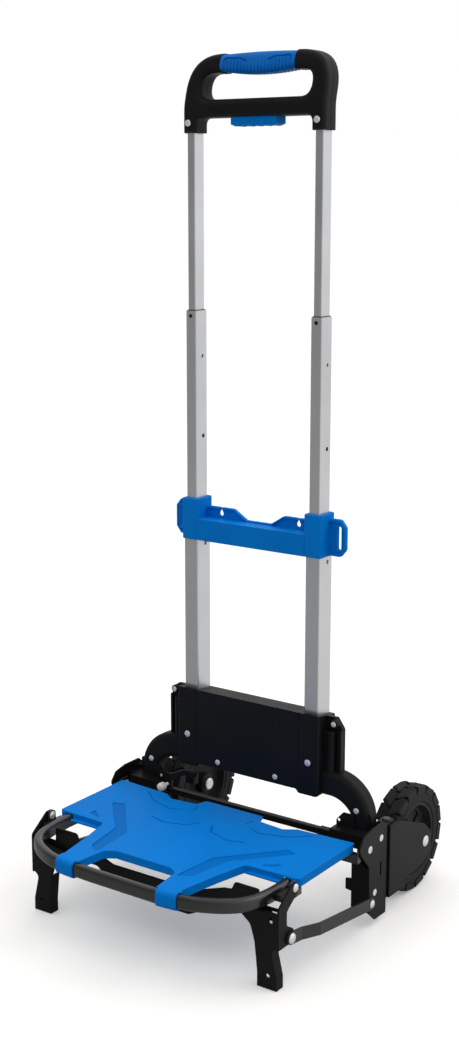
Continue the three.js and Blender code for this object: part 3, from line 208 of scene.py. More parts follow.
def swept(path, section, closed=False, capped=True, name="swept", up=Vector((0, 0, 1))):
    # section of (side, up) points carried along a path
    work = bmesh.new()
    rings = []
    count = len(path)
    for i, point in enumerate(path):
        before = path[i - 1] if i or closed else point
        after = path[(i + 1) % count] if i < count - 1 or closed else point
        along = (after - before).normalized()
        side = along.cross(up).normalized()
        over = side.cross(along)
        rings.append([work.verts.new(point + side * s + over * u) for s, u in section])
    pairs = list(zip(rings, rings[1:])) + ([(rings[-1], rings[0])] if closed else [])
    for first, second in pairs:
        for k in range(len(section)):
            j = (k + 1) % len(section)
            work.faces.new((first[k], first[j], second[j], second[k]))
    if capped and not closed:
        work.faces.new(rings[0])
        work.faces.new(rings[-1])
    return objectFrom(name, work)


def settle(piece):  # modifiers become the mesh
    graph = bpy.context.evaluated_depsgraph_get()
    mesh = bpy.data.meshes.new_from_object(piece.evaluated_get(graph))
    old = piece.data
    piece.modifiers.clear()
    piece.data = mesh
    bpy.data.meshes.remove(old)
    return piece


def combine(base, others, operation):
    for other in others:
        step = base.modifiers.new(operation.lower(), "BOOLEAN")
        step.operation = operation
        step.solver = "EXACT"
        step.object = other
    settle(base)
    for other in others:
        mesh = other.data
        bpy.data.objects.remove(other)
        bpy.data.meshes.remove(mesh)
    return base


def joined(base, *others):
    return combine(base, others, "UNION")


def carved(base, *cutters):
    return combine(base, cutters, "DIFFERENCE")


def softened(piece, width, steps=2, angle=40):
    bevel = piece.modifiers.new("edges", "BEVEL")
    bevel.width = width
    bevel.segments = steps
    bevel.limit_method = "ANGLE"
    bevel.angle_limit = math.radians(angle)
    bevel.harden_normals = False
    return settle(piece)


def flipped(piece, name="flipped"):  # the same piece on the left side
    mesh = piece.data.copy()
    mesh.transform(Matrix.Scale(-1, 4, (1, 0, 0)))
    mesh.flip_normals()
    other = bpy.data.objects.new(name, mesh)
    scene.collection.objects.link(other)
    return other


def ready(piece, name, material, body, nodes=(), angle=32):
    # from millimetres into the frame, shaded, painted and hung on its body
    piece.data.transform(Matrix.Translation((0, mastY, 0)) @ Matrix.Scale(0.001, 4))
    piece.data.shade_smooth()
    piece.data.set_sharp_from_angle(angle=math.radians(angle))
    flat = piece.modifiers.new("flatFaces", "WEIGHTED_NORMAL")
    flat.keep_sharp = True
    piece.name = name
    piece.data.name = name
    piece.data.materials.clear()
    piece.data.materials.append(material)
    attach(piece, body)
    if nodes:
        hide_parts(*nodes)
    return piece


def readyPair(right, name, material, body, node=None, angle=32):
    # body and node hold {side}
    left = flipped(right)
    for piece, side in ((right, "right"), (left, "left")):
        nodes = [node.format(side=side)] if node else []
        ready(piece, name.format(side=side), material, body.format(side=side), nodes, angle)


# finishes

finishSettings = {
    "anodisedTube": {"colour": (0.60, 0.61, 0.63), "metal": 0.85, "roughness": 0.34, "grain": 900, "relief": 0.02,
                     "stretch": (1, 1, 0.012), "shift": 0.05},
    "zincSteel": {"colour": (0.86, 0.86, 0.85), "metal": 0.5, "roughness": 0.3, "grain": 600, "relief": 0.03,
                  "shift": 0.05},
    "glossyPowder": {"colour": (0.010, 0.010, 0.0105), "roughness": 0.27, "grain": 700, "relief": 0.03,
                     "shift": 0.2, "gloss": 0.8},
    "blackMoulding": {"colour": (0.0082, 0.0083, 0.0086), "roughness": 0.5, "grain": 1500, "relief": 0.05,
                      "shift": 0.25, "gloss": 0.14},
    "blueMoulding": {"colour": (0.0, 0.208, 0.70), "roughness": 0.52, "grain": 1500, "relief": 0.04,
                     "shift": 0.05, "gloss": 0.05},
    # painted shade: the recess floors get a darker blue than the deck top to stand in for their shading
    "blueRecessPaintedShade": {"colour": (0.0, 0.158, 0.55), "roughness": 0.55, "grain": 1500, "relief": 0.04, "shift": 0.05,
                   "gloss": 0.04},
    "blueGrip": {"colour": (0.0, 0.165, 0.60), "roughness": 0.6, "grain": 1800, "relief": 0.06, "shift": 0.08,
                 "gloss": 0.12},
    "blackPowder": {"colour": (0.008, 0.008, 0.0082), "roughness": 0.42, "grain": 700, "relief": 0.06,
                    "shift": 0.25, "gloss": 0.12},
    "greyPowder": {"colour": (0.030, 0.031, 0.034), "metal": 0.3, "roughness": 0.4, "grain": 700, "relief": 0.05,
                   "shift": 0.15, "gloss": 0.5},
    "tyreRubber": {"colour": (0.011, 0.011, 0.0115), "roughness": 0.72, "grain": 900, "relief": 0.09,
                   "shift": 0.3, "gloss": 0.3},
    "whiteKnob": {"colour": (0.80, 0.80, 0.79), "roughness": 0.3, "grain": 500, "relief": 0.02, "shift": 0.04,
                  "gloss": 0.5},
}


def makeFinish(name, look):
    material = bpy.data.materials.new(name)
    material.use_nodes = True
    tree = material.node_tree
    shader = tree.nodes["Principled BSDF"]
    shader.inputs["Metallic"].default_value = look.get("metal", 0.0)
    shader.inputs["Specular IOR Level"].default_value = look.get("gloss", 0.5)
    place = tree.nodes.new("ShaderNodeTexCoord")
    size = tree.nodes.new("ShaderNodeMapping")
    size.inputs["Scale"].default_value = look.get("stretch", (1, 1, 1))
    fine = tree.nodes.new("ShaderNodeTexNoise")
    fine.inputs["Scale"].default_value = look["grain"]
    fine.inputs["Detail"].default_value = 3
    broad = tree.nodes.new("ShaderNodeTexNoise")
    broad.inputs["Scale"].default_value = 14
    broad.inputs["Detail"].default_value = 4
    tint = tree.nodes.new("ShaderNodeValToRGB")
    low = [c * (1 - look["shift"]) for c in look["colour"]]
    high = [c * (1 + look["shift"]) for c in look["colour"]]
    tint.color_ramp.elements[0].position = 0.3
    tint.color_ramp.elements[0].color = (*low, 1)
    tint.color_ramp.elements[1].position = 0.7
    tint.color_ramp.elements[1].color = (*high, 1)
    rough = tree.nodes.new("ShaderNodeMapRange")
    rough.inputs["From Min"].default_value = 0.3
    rough.inputs["From Max"].default_value = 0.7
    rough.inputs["To Min"].default_value = look["roughness"] - 0.05
    rough.inputs["To Max"].default_value = look["roughness"] + 0.05
    relief = tree.nodes.new("ShaderNodeBump")
    relief.inputs["Strength"].default_value = look["relief"] * 4
    relief.inputs["Distance"].default_value = 0.0002
    tree.links.new(place.outputs["Object"], size.inputs["Vector"])
    tree.links.new(size.outputs["Vector"], fine.inputs["Vector"])
    tree.links.new(place.outputs["Object"], broad.inputs["Vector"])
    tree.links.new(broad.outputs["Fac"], tint.inputs["Fac"])
    tree.links.new(tint.outputs["Color"], shader.inputs["Base Color"])
    tree.links.new(broad.outputs["Fac"], rough.inputs["Value"])
    tree.links.new(rough.outputs["Result"], shader.inputs["Roughness"])
    tree.links.new(fine.outputs["Fac"], relief.inputs["Height"])
    tree.links.new(relief.outputs["Normal"], shader.inputs["Normal"])
    return material


finishes = {name: makeFinish(name, look) for name, look in finishSettings.items()}
slotOf = {
    "anodisedTube": "tube_aluminium",
    "zincSteel": "bright_steel",
    "blackMoulding": "black_plastic",
    "blueMoulding": "blue_plastic",
    "blueGrip": "grip_rubber",
    "glossyPowder": "black_steel",
    "blackPowder": "black_steel",
    "greyPowder": "grey_steel",
    "tyreRubber": "tyre_rubber",
    "whiteKnob": "white_plastic",
}
finishOf = {slotName: name for name, slotName in slotOf.items()}

# every node gets its finish; the better pieces below take the place of some
for part in frame["record"]["subparts"]:
    node = frame["nodes"][part["node"]]
    node.data.materials.clear()
    node.data.materials.append(finishes[finishOf[part["material_slot"]]])
print("finishes ready")


def finished(piece, name, finish, body, nodes=(), angle=32):
    return ready(piece, name, finishes[finish], body, nodes, angle)


def finishedPair(piece, name, finish, body, node=None, angle=32):
    readyPair(piece, name, finishes[finish], body, node, angle)


# mast tubes

tubes = {
    "holeDiameter": 5.2,
    "lower": {"wall": 1.4, "corner": 3.0, "body": "chassis", "holes": [(3, 435)]},
    "middle": {"wall": 1.2, "corner": 2.6, "body": "middle_stage", "holes": [(3, 571)],
               "pinHoles": [(2, 670), (3, 435)]},
    "upper": {"wall": 1.1, "corner": 2.2, "body": "upper_stage", "holes": [], "pinHoles": [(2, 670)]},
}
for stage in ("lower", "middle", "upper"):
    settings = tubes[stage]
    low, high = spanOf(f"{stage}_tube_right")
    wall = settings["wall"]
    outer = rectangle(low.x, high.x, low.y, high.y, settings["corner"], 5)
    inner = rectangle(low.x + wall, high.x - wall, low.y + wall, high.y - wall, settings["corner"] - wall * 0.8,
                      5)
    tube = slab(outer, low.z, high.z, "z", 0.25, [inner], 2)
    cutters = [slab(circle(y, z, tubes["holeDiameter"] / 2, 24), low.x - 4, high.x + 4, "x")
               for y, z in settings["holes"]]
    cutters += [slab(circle(y, z, 2.1, 20), low.x - 4, high.x + 4, "x") for y, z in settings.get("pinHoles", [])]
    if stage == "middle":
        cutters.append(slab(circle((low.x + high.x) / 2, high.z - 6.4, 2.3, 20), low.y - 3, 0, "y"))
    if stage == "upper":
        cutters.append(slab(circle((low.x + high.x) / 2, 946.5, 2.4, 20), low.y - 3, high.y + 3, "y"))
    if cutters:
        tube = carved(tube, *cutters)
    finishedPair(tube, stage + "Tube_{side}", "anodisedTube", settings["body"], stage + "_tube_{side}")
print("tubes ready")


# handle

handle = {
    "legInner": 81, "half": 99, "edge": 7, "shoulder": 48, "openingHalf": 77, "gripHalf": 52,
    "gripDepth": 33, "ribPitch": 4.8, "ribRise": 1.9, "lineDepth": 1.7, "lean": 0.26, "leanStart": 31,
    "leanSoft": 7, "openingLow": 38, "openingHigh": 68, "barLow": 17, "gripGap": 0.3, "gripSquare": 0.62,
    "gripColumns": 264, "gripRows": 84,
}
low, high = spanOf("handle_front_shell")
top = high.z
base = low.z
gripHalf = handle["gripHalf"]
legInner, half, openingHalf = handle["legInner"], handle["half"], handle["openingHalf"]
handleOuter = roundCorners(bothSides([
    [legInner, base, 0],
    [half, base, 0],
    [half, top, handle["shoulder"]],
]) + [[-legInner, base + handle["barLow"], 10], [legInner, base + handle["barLow"], 10]], 12)
opening = rectangle(-openingHalf, openingHalf, base + handle["openingLow"], base + handle["openingHigh"], 14.6,
                    10)
gripGap = handle["gripGap"]


def leaned(piece):  # the upper part of the handle leans back, with a soft bend
    start, soft = base + handle["leanStart"], handle["leanSoft"]
    work = bmesh.new()
    work.from_mesh(piece.data)
    for rise in (-soft, -soft / 2, 0, soft / 2, soft):
        bmesh.ops.bisect_plane(work, geom=work.verts[:] + work.edges[:] + work.faces[:],
                               plane_co=(0, 0, start + rise), plane_no=(0, 0, 1))
    for vert in work.verts:
        rise = vert.co.z - start
        if rise > soft:
            vert.co.y += handle["lean"] * rise
        elif rise > -soft:
            vert.co.y += handle["lean"] * (rise + soft) ** 2 / (4 * soft)
    work.to_mesh(piece.data)
    work.free()
    return piece


for side, y0, y1 in (("front", low.y, -0.15), ("rear", 0.15, -low.y)):
    isFront = side == "front"
    shell = slab(handleOuter, y0, y1, "y", 0.3 if isFront else handle["edge"], [opening], 6,
                 handle["edge"] if isFront else 0.3)
    gripRoom = slab(rectangle(-gripHalf - gripGap, gripHalf + gripGap, base + 55, top + 6), y0 - 4, y1 + 4, "y")
    shell = carved(shell, gripRoom)
    tubeRooms = [slab(rectangle(sx * 90 - 5.7, sx * 90 + 5.7, -9.95, 9.95, 2.4), base - 3, base + 20.3, "z")
                 for sx in (-1, 1)]
    buttonRoom = block(-32.9, 32.9, -10.4, 10.4, base + 5, base + 26)
    shell = carved(shell, *tubeRooms, buttonRoom)
    finished(leaned(shell), side + "HandleShell", "blackMoulding", "upper_stage", [f"handle_{side}_shell"])

# ribbed grip sleeve round the top bar
columns, rows = handle["gripColumns"], handle["gripRows"]
sleeve = bmesh.new()
rings = []
for i in range(columns + 1):
    x = -gripHalf + 2 * gripHalf * i / columns
    t = x / gripHalf
    bottom = base + 69 - 4.6 * (1 - t * t)
    crest = top - 0.5 + 1.4 * (1 - t * t)
    halfHeight = (crest - bottom) / 2
    centre = (crest + bottom) / 2
    ring = []
    for k in range(rows):
        a = 2 * math.pi * k / rows
        c, s = math.cos(a), math.sin(a)
        y = math.copysign(abs(c) ** handle["gripSquare"], c) * handle["gripDepth"] / 2
        z = math.copysign(abs(s) ** handle["gripSquare"], s) * halfHeight
        lineZ = 5.4 if abs(x) > 24 else (1.6 if abs(x) < 15 else 1.6 + 3.8 * (abs(x) - 15) / 9)
        if abs(x) > 44:
            lineZ = 5.4 - 2.4 * (abs(x) - 44) / 3
        below = z < lineZ - 1.6 and z > -halfHeight * 0.93 and abs(c) > 0.2
        rib = 0.5 + 0.5 * math.cos(2 * math.pi * x / handle["ribPitch"])
        rise = handle["ribRise"] * (rib ** 0.7 - 0.5) if below and abs(x) < gripHalf - 4.5 else 0
        if abs(z - lineZ) < 0.95 and abs(c) > 0.3 and abs(x) < gripHalf - 5:
            rise = -handle["lineDepth"]
        scale = 1 + (rise - 0.6) / max(6, math.hypot(y, z))
        ring.append(sleeve.verts.new(Vector((x, y * scale, centre + z * scale))))
    rings.append(ring)
for first, second in zip(rings, rings[1:]):
    for k in range(rows):
        j = (k + 1) % rows
        sleeve.faces.new((first[k], first[j], second[j], second[k]))
sleeve.faces.new(rings[0])
sleeve.faces.new(rings[-1])
finished(leaned(objectFrom("grip", sleeve)), "gripSleeve", "blueGrip", "upper_stage", ["grip_pad"], 60)

button = {"half": 32.5, "scallops": 5, "edge": 1.4}
low, high = spanOf("release_button")
edge = [Vector((-button["half"], high.z)), Vector((-button["half"], low.z + 2))]
pitch = 2 * (button["half"] - 2) / button["scallops"]
for i in range(button["scallops"]):
    for k in range(13 if i == button["scallops"] - 1 else 12):
        edge.append(Vector((-button["half"] + 2 + (i + k / 12) * pitch,
                            low.z + 1.8 * (1 - math.sin(math.pi * k / 12) ** 0.8))))
edge += [Vector((button["half"], low.z + 2)), Vector((button["half"], high.z))]
finished(slab(edge, low.y, high.y, "y", button["edge"], steps=4), "releaseButton", "blueMoulding", "release",
         ["release_button"])
print("handle ready")


# cross bracket over the mouths of the lower tubes

cross = {
    "edge": 1.3,
    "collarCorner": 4,
    "wall": 2.6,
    "hangHole": (57, 475, 3.3, 481.8),
    "ribs": (-60, -30, 0, 30, 60),
}
low, high = spanOf("cross_bracket")
tubeLow, tubeHigh = spanOf("lower_tube_right")
innerX, outerX = tubeLow.x - 1.7, tubeHigh.x + 1.7
deep = tubeHigh.y + 2.2
foot, barTop, wingTop = 442, 469, 483
bar = carved(slab(rectangle(-innerX - 1, innerX + 1, -16, 8.6), foot, barTop, "z", 0.8, steps=2),
             block(-innerX, innerX, -13.4, 6, foot - 2, barTop - cross["wall"]))
wingOutline = roundCorners(bothSides([
    [innerX + 1, barTop - 6],
    [innerX + 1, wingTop],
    [37, wingTop, 4],
    [18, 471, 6],
]), 5)
holeX, holeZ, holeRadius, tip = cross["hangHole"]


def dropHole(x):
    lower = arcPoints(x, holeZ, holeRadius, math.radians(150), math.radians(390), 22)
    return lower + [Vector((x, tip))]


wing = slab(wingOutline, 5.9, 8.5, "y", 0.5, steps=2)
rimOuter = bothSides([[innerX, barTop - 2], [innerX, wingTop], [37, wingTop, 4], [18, 471, 6]])
rimInner = bothSides([[innerX + 4, barTop - 6], [innerX + 4, wingTop - 2.2], [36.2, wingTop - 2.2, 4],
                      [17.5, 468.6, 6]])
rim = carved(slab(roundCorners(rimOuter, 5), 3.4, 6.3, "y", 0.4, steps=2),
             slab(roundCorners(rimInner, 5), 2, 7, "y"))
notches = [slab(dropHole(sx * holeX), 2, 12, "y") for sx in (-1, 1)]
notches += [slab([Vector((sx * holeX - 2, wingTop + 1)), Vector((sx * holeX + 2, wingTop + 1)),
                 Vector((sx * holeX + 0.8, tip - 1)), Vector((sx * holeX - 0.8, tip - 1))], 2, 12, "y")
           for sx in (-1, 1)]
ribs = [block(x - 0.9, x + 0.9, -15, 8, foot + 2, barTop - 1) for x in cross["ribs"]]
body = joined(bar, wing, rim)
body = carved(body, *notches)
body = joined(body, *ribs)
halves = []
for sx in (-1, 1):
    collar = slab(rectangle(min(sx * innerX, sx * outerX), max(sx * innerX, sx * outerX), -deep, deep,
                            cross["collarCorner"], 5), foot, high.z, "z", cross["edge"], steps=4)
    earOuter = roundCorners([[sx * (outerX - 2), 443, 0], [sx * 118, 443, 4], [sx * 125, 452, 3],
                             [sx * 125, 479, 3], [sx * 118, 488, 4], [sx * (outerX - 2), 488, 0]], 5)
    earInner = roundCorners([[sx * (outerX - 1), 446.5, 0], [sx * 117, 446.5, 3], [sx * 121.8, 453, 2],
                             [sx * 121.8, 478, 2], [sx * 117, 484.5, 3], [sx * (outerX - 1), 484.5, 0]], 5)
    plate = carved(slab(earOuter, 3, 8.5, "y", 0.7, steps=3), slab(earInner, 0, 4.8, "y"))
    slotRim = slab(rectangle(sx * 116 - 4.8, sx * 116 + 4.8, 449, 482, 4, 4), 3.2, 6, "y", 0.3)
    slotCut = slab(rectangle(sx * 116 - 3, sx * 116 + 3, 451, 480, 2.9, 5), -5, 20, "y")
    struts = [block(min(sx * 102, sx * 122), max(sx * 102, sx * 122), 4, 5.6, z - 0.7, z + 0.7)
              for z in (452.5, 478.5)]
    halves.append(joined(collar, carved(joined(plate, slotRim, *struts), slotCut)))
body = joined(body, *halves)
rooms = []
for sx in (-1, 1):
    rooms.append(slab(rectangle(sx * 90 - 10.5, sx * 90 + 10.5, -14.5, 14.5, 3.4), foot - 2, 488.4, "z"))
    rooms.append(slab(rectangle(sx * 90 - 8, sx * 90 + 8, -12.3, 12.3, 3), 480, high.z + 2, "z"))
finished(carved(body, *rooms), "crossBracket", "blueMoulding", "chassis", ["cross_bracket"])
print("cross bracket ready")


# lower housing

housing = {
    "edge": 2.6,
    "armEdge": 7.2,
    "wall": 3,
    "slope": 9,
    "arm": {"outer": 53.5, "inner": 36, "x": 119.5, "innerX": 115.5, "z": 125, "drop": 14, "end": 116.4,
            "front": -14.5, "back": 10},
    "seamX": 77.5,
}
panelHalf, flangeHalf, panelTop, panelLow = 106, 129, 249, 149.5
arm = housing["arm"]


def panelOutline(inset):
    side = panelHalf - inset
    bottom = panelLow + inset
    return roundCorners(bothSides([[73, bottom, 3], [77.5, bottom - 4.5, 3], [side, bottom - 4.5, 6],
                                   [side, panelTop + 14 - inset, 0]]), 5)


def armOutline(inset):
    outer, inner = arm["outer"] - inset, arm["inner"] + inset
    return ([Vector((90, arm["z"] + outer))]
            + arcPoints(arm["x"], arm["z"], outer, math.pi / 2, 0, 20)
            + [Vector((arm["x"] + outer, arm["end"] - 12)), Vector((arm["innerX"] + inner, arm["end"] - 12))]
            + arcPoints(arm["innerX"], arm["z"] - arm["drop"], inner, 0, math.pi / 2, 20)
            + [Vector((90, arm["z"] - arm["drop"] + inner))])


def slopedAbove(under, over):
    wedge = block(-140, 140, -10, 110, under, over)
    wedge.data.transform(Matrix.Translation((0, -22, panelTop))
                         @ Matrix.Rotation(math.radians(-housing["slope"]), 4, "X"))
    return wedge


for side in ("front", "rear"):
    isFront = side == "front"
    face, armFace = (-22, arm["front"]) if isFront else (18, arm["back"])
    sign = -1 if isFront else 1
    joint = sign * 0.15

    def shellSlab(loop, outerFace, bevel, steps=4):
        if isFront:
            return slab(loop, outerFace, joint, "y", 0, (), steps, bevel)
        return slab(loop, joint, outerFace, "y", bevel, (), steps, 0)

    wall = housing["wall"]
    panel = shellSlab(panelOutline(0), face, housing["edge"])
    hollow = slab(panelOutline(wall), *sorted((face - sign * wall, 1 * -sign)), "y")
    flange = shellSlab(roundCorners(bothSides([[100, 166], [flangeHalf, 166], [flangeHalf, 232, 5],
                                               [flangeHalf - 12, panelTop, 6], [100, panelTop]]), 5),
                       sign * 3.5, 0.7, 3)
    arms = shellSlab(armOutline(0), armFace, housing["armEdge"] if isFront else 5.5, 7)
    armHollow = slab(armOutline(wall), *sorted((armFace - sign * wall, 1 * -sign)), "y")
    pieces = [panel, flange, arms, flipped(arms)]
    if isFront:
        column = spun([(0, 168), (5.5, 168), (5.5, 228), (4.6, 229), (0, 229)], (115, -7, 0), "z", 32)
        filler = block(103, 115, -10, -1, 168, 229, 0.8)
        rimWall = block(flangeHalf - 3.2, flangeHalf, -7, -1, 168, 231, 0.8)
        screwBoss = spun([(0, -10.5), (4.6, -10.5), (5.2, -9.9), (5.2, -1), (0, -1)], (120, 0, 239), "y", 32)
        pieces += [column, filler, rimWall, screwBoss, flipped(column), flipped(filler), flipped(rimWall),
                   flipped(screwBoss)]
    else:
        for x in (30, 60):
            ridge = block(x - 1.2, x + 1.2, 17, 20.2, 160, 232, 0.4)
            pieces += [ridge, flipped(ridge)]
    shell = joined(*pieces)
    cutters = [hollow, armHollow, flipped(armHollow), slopedAbove(0, 60),
               block(-250, 250, -60, 60, 0, arm["end"])]
    shell = carved(shell, *cutters)
    lid = slab(rectangle(-104, 104, *sorted((joint, face - sign * 1.2))), panelTop - 16, panelTop + 6, "z")
    lid = carved(lid, slopedAbove(0, 60), slopedAbove(-60, -wall))
    shell = joined(shell, lid)
    rooms = [slab(rectangle(sx * 90 - 10.5, sx * 90 + 10.5, -14.5, 14.5, 3.4), 148, panelTop + 60, "z")
             for sx in (-1, 1)]
    if isFront:
        x = housing["seamX"]
        for sx in (-1, 1):
            rooms.append(block(sx * x - 0.45, sx * x + 0.45, face - 1, face + 0.5, 158, panelTop + 5))
    shell = carved(shell, *rooms)
    finished(shell, side + "Housing", "blackMoulding", "chassis", [f"housing_{side}"])
print("housing ready")


# deck frame of bent tube

deckFrame = {
    "width": 11, "height": 16.5, "corner": 5, "z": 104.5, "side": 161, "front": -279.5,
    "rear": (-58, -50, 92, 104),
    "hinge": (-35.2, 104), "legHinge": (-187.5, 112), "earX": (182, 185), "lugX": (176.2, 178.7), "eye": 6.4,
}


def throughPoints(points, steps):  # smooth path through the points
    padded = [points[0] * 2 - points[1], *points, points[-1] * 2 - points[-2]]
    path = []
    for a, b, c, d in zip(padded, padded[1:], padded[2:], padded[3:]):
        t1 = (b - a).length ** 0.5
        t2 = t1 + (c - b).length ** 0.5
        t3 = t2 + (d - c).length ** 0.5
        for k in range(steps):
            t = t1 + (t2 - t1) * k / steps
            e = a * ((t1 - t) / t1) + b * (t / t1)
            f = b * ((t2 - t) / (t2 - t1)) + c * ((t - t1) / (t2 - t1))
            g = c * ((t3 - t) / (t3 - t2)) + d * ((t - t2) / (t3 - t2))
            h = e * ((t2 - t) / t2) + f * (t / t2)
            i = f * ((t3 - t) / (t3 - t1)) + g * ((t - t1) / (t3 - t1))
            path.append(h * ((t2 - t) / (t2 - t1)) + i * ((t - t1) / (t2 - t1)))
    return path + [points[-1]]


side, front, tubeZ = deckFrame["side"], deckFrame["front"], deckFrame["z"]
bendRight = [[side, front + 126], [side, front + 93], [side - 1.5, front + 70], [side - 6, front + 49],
             [side - 14, front + 34], [side - 25, front + 23.5], [side - 38, front + 15.5],
             [side - 61, front + 6], [side - 101, front + 1]]
bendPoints = bendRight + [[0, front]] + [[-x, y] for x, y in reversed(bendRight)]
bendPath = throughPoints([Vector((x, y, tubeZ)) for x, y in bendPoints], 8)
path = [Vector((side, -50, tubeZ)), *bendPath, Vector((-side, -50, tubeZ))]


def tubeSection(grow=0.0, steps=6):
    w, h = deckFrame["width"] / 2 + grow, deckFrame["height"] / 2 + grow
    return [(p.x, p.y) for p in rectangle(-w, w, -h, h, deckFrame["corner"] + grow, steps)]


mainTube = swept(path, tubeSection())
y0, y1, z0, z1 = deckFrame["rear"]
hingeY, hingeZ = deckFrame["hinge"]
legY, legZ = deckFrame["legHinge"]
crossMember = block(-183, 183, y0, y1, z0, z1, 0.8)
ear = slab(roundCorners([[y0, z0, 2], [hingeY - 6, hingeZ - 9, 4], [hingeY + 9, hingeZ - 9, 8.6],
                         [hingeY + 9, hingeZ + 9, 8.6], [hingeY - 10, hingeZ + 9, 6], [y0, z1, 3]]),
           *deckFrame["earX"], "x", 0.6)
eye = deckFrame["eye"]
lug = slab(roundCorners([[legY - eye - 1, tubeZ - 7, 1.5], [legY + eye + 1, tubeZ - 7, 1.5],
                         [legY + eye, legZ + eye, eye - 0.3], [legY - eye, legZ + eye, eye - 0.3]]),
           *deckFrame["lugX"], "x", 0.6)
web = block(side, deckFrame["lugX"][1], legY - 15, legY + 17, tubeZ - 7, tubeZ + 1.6, 0.8)
frameBody = joined(mainTube, crossMember, ear, lug, web, flipped(ear), flipped(lug), flipped(web))
finished(frameBody, "deckTube", "glossyPowder", "deck", ["deck_frame"])
print("deck frame ready")


# deck panel

deck = {
    "skin": 2.1, "half": 176, "rear": -50, "wideFront": -172, "skirt": 11, "wall": 2.4,
    "clip": (57, 88), "recess": 1.1, "edge": 0.9, "lip": 10,
    "bands": [
        [[138, -118, 3], [84, -178, 5], [74, -234, 3], [57, -245, 3], [63, -181, 5], [122, -112, 3]],
        [[140, -149, 2], [138, -161, 2], [116, -168, 2]],
        [[70, -126, 1], [48, -132, 3], [17, -123, 3], [8, -106, 1], [10, -105.5, 0], [19, -121, 3],
         [48, -129.6, 3], [70, -123.6, 1]],
        [[124, -64, 1], [102, -83, 4], [68, -94, 4], [38, -78, 4], [40, -66, 1], [42.2, -66, 0], [40.2, -79, 4],
         [68, -91.6, 4], [101, -80.8, 4], [122.4, -62.4, 0]],
    ],
}
underside = tubeZ + deckFrame["height"] / 2 + 0.3
deckTop = underside + deck["skin"]
clipInner, clipOuter = deck["clip"]
panelCorners = bothSides([
    [43, deck["rear"] + 4, 3], [48, -61, 4], [84, -65, 5], [99, -55, 5], [deck["half"], deck["rear"], 3],
    [deck["half"], deck["wideFront"], 3], [105, deck["wideFront"] - 3, 6], [95, -218, 6],
    [clipOuter - 2, front + 11, 2], [clipOuter, front + 4], [clipInner, front + 1], [52, -238, 6], [40, -230, 4],
])
panelEdge = roundCorners(panelCorners, 5)
panel = slab(panelEdge, underside, deckTop, "z", deck["edge"], (), 4, 0)
skirts = [
    slab(rectangle(deck["half"] - deck["wall"], deck["half"], deck["wideFront"] + 4, deck["rear"] - 3, 0.8),
         deckTop - deck["skirt"], underside + 1, "z", 0, (), 2, 0.6),
    slab(rectangle(108, deck["half"] - 3, deck["wideFront"] - 1.5, deck["wideFront"] + 0.5), deckTop - 9,
         underside + 1, "z"),
    slab(rectangle(108, deck["half"] - 3, deck["wideFront"] - 7, deck["wideFront"] + 0.5), deckTop - 9,
         deckTop - 6.9, "z", 0.4, (), 2),
]
# turned-down lip round the front of the panel
lipEdge = [Vector(corner[:2]) for corner in panelCorners]
lipEdge = lipEdge if areaOf(lipEdge) > 0 else lipEdge[::-1]
lip = slab(insetLoop(panelEdge if areaOf(panelEdge) > 0 else panelEdge[::-1], 0.05), deckTop - deck["lip"],
           underside + 0.7, "z", 0, [insetLoop(lipEdge, deck["wall"])])
lip = carved(lip, block(-200, 200, deck["wideFront"] + 3, 0, tubeZ - 20, deckTop + 5))
clipPath = [p for p in bendPath if clipInner - 0.5 <= p.x <= clipOuter + 0.5]
roomPath = [p for p in bendPath if clipInner - 12 <= p.x <= clipOuter + 12]
clip = softened(swept(clipPath, tubeSection(2.4, 6)), 0.7, 2, 60)
clipRoom = swept(roomPath, tubeSection(0.3, 6))
clip = carved(clip, clipRoom, block(clipInner - 12, clipOuter + 12, front + 7.5, -200, 0, tubeZ + 1))
parts = [*skirts, clip]
whole = joined(panel, lip, *parts, *[flipped(part) for part in parts])
rail = block(side - 5.8, side + 5.8, front + 94, 0, tubeZ - 8.6, underside)
bends = swept(bendPath, tubeSection(0.3, 6))
cutters = [rail, flipped(rail), bends]
for band in deck["bands"]:
    cutter = slab(roundCorners(band, 5), deckTop - deck["recess"], deckTop + 3, "z", 0, (), 3, 0.45)
    cutters += [cutter, flipped(cutter)]
deckPanel = finished(carved(whole, *cutters), "deckPanel", "blueMoulding", "deck", ["deck_panel"], 25)
# the recess floors take the darker blue of painted shade
deckPanel.data.materials.append(finishes["blueRecessPaintedShade"])
for face in deckPanel.data.polygons:
    if abs(face.center.z * 1000 - deckTop + deck["recess"]) < 0.05 and face.normal.z > 0.9:
        face.material_index = 1
print("deck panel ready")


# corner brackets, cross rod and folding latch

bracket = {
    "sheet": 2.5, "front": -35.5, "back": 5, "top": 128, "bottom": 9, "flangeInner": 163, "edge": 0.55,
    "armInner": 112, "armLow": 99, "armTop": 116.1, "rod": (-29.7, -21.5, 103, 110.7),
    "pinX": 180, "pinY": 18, "tongue": -11.2, "gusset": -16.9,
}
outerFace = spanOf("corner_bracket_right")[1].x
innerFace = outerFace - bracket["sheet"]
carrierLow, carrierHigh = spanOf("wheel_carrier_right")
edge = bracket["edge"]
back, top, foot = bracket["back"], bracket["top"], bracket["bottom"]
side = slab(roundCorners([
    [back, foot, 2], [back, top - 6, 5], [back - 7, top, 3], [hingeY + 4, top, 6], [hingeY - 15, top - 4, 6],
    [hingeY - 25, hingeZ + 8, 6], [hingeY - 21, hingeZ, 4], [bracket["front"] - 1.5, hingeZ - 22, 6],
    [bracket["front"], foot + 13, 3], [-21, foot, 2],
]), innerFace, outerFace, "x", edge, [rectangle(-10.6, -7.6, 62, 80, 1.4)], 2)
inner = bracket["flangeInner"]
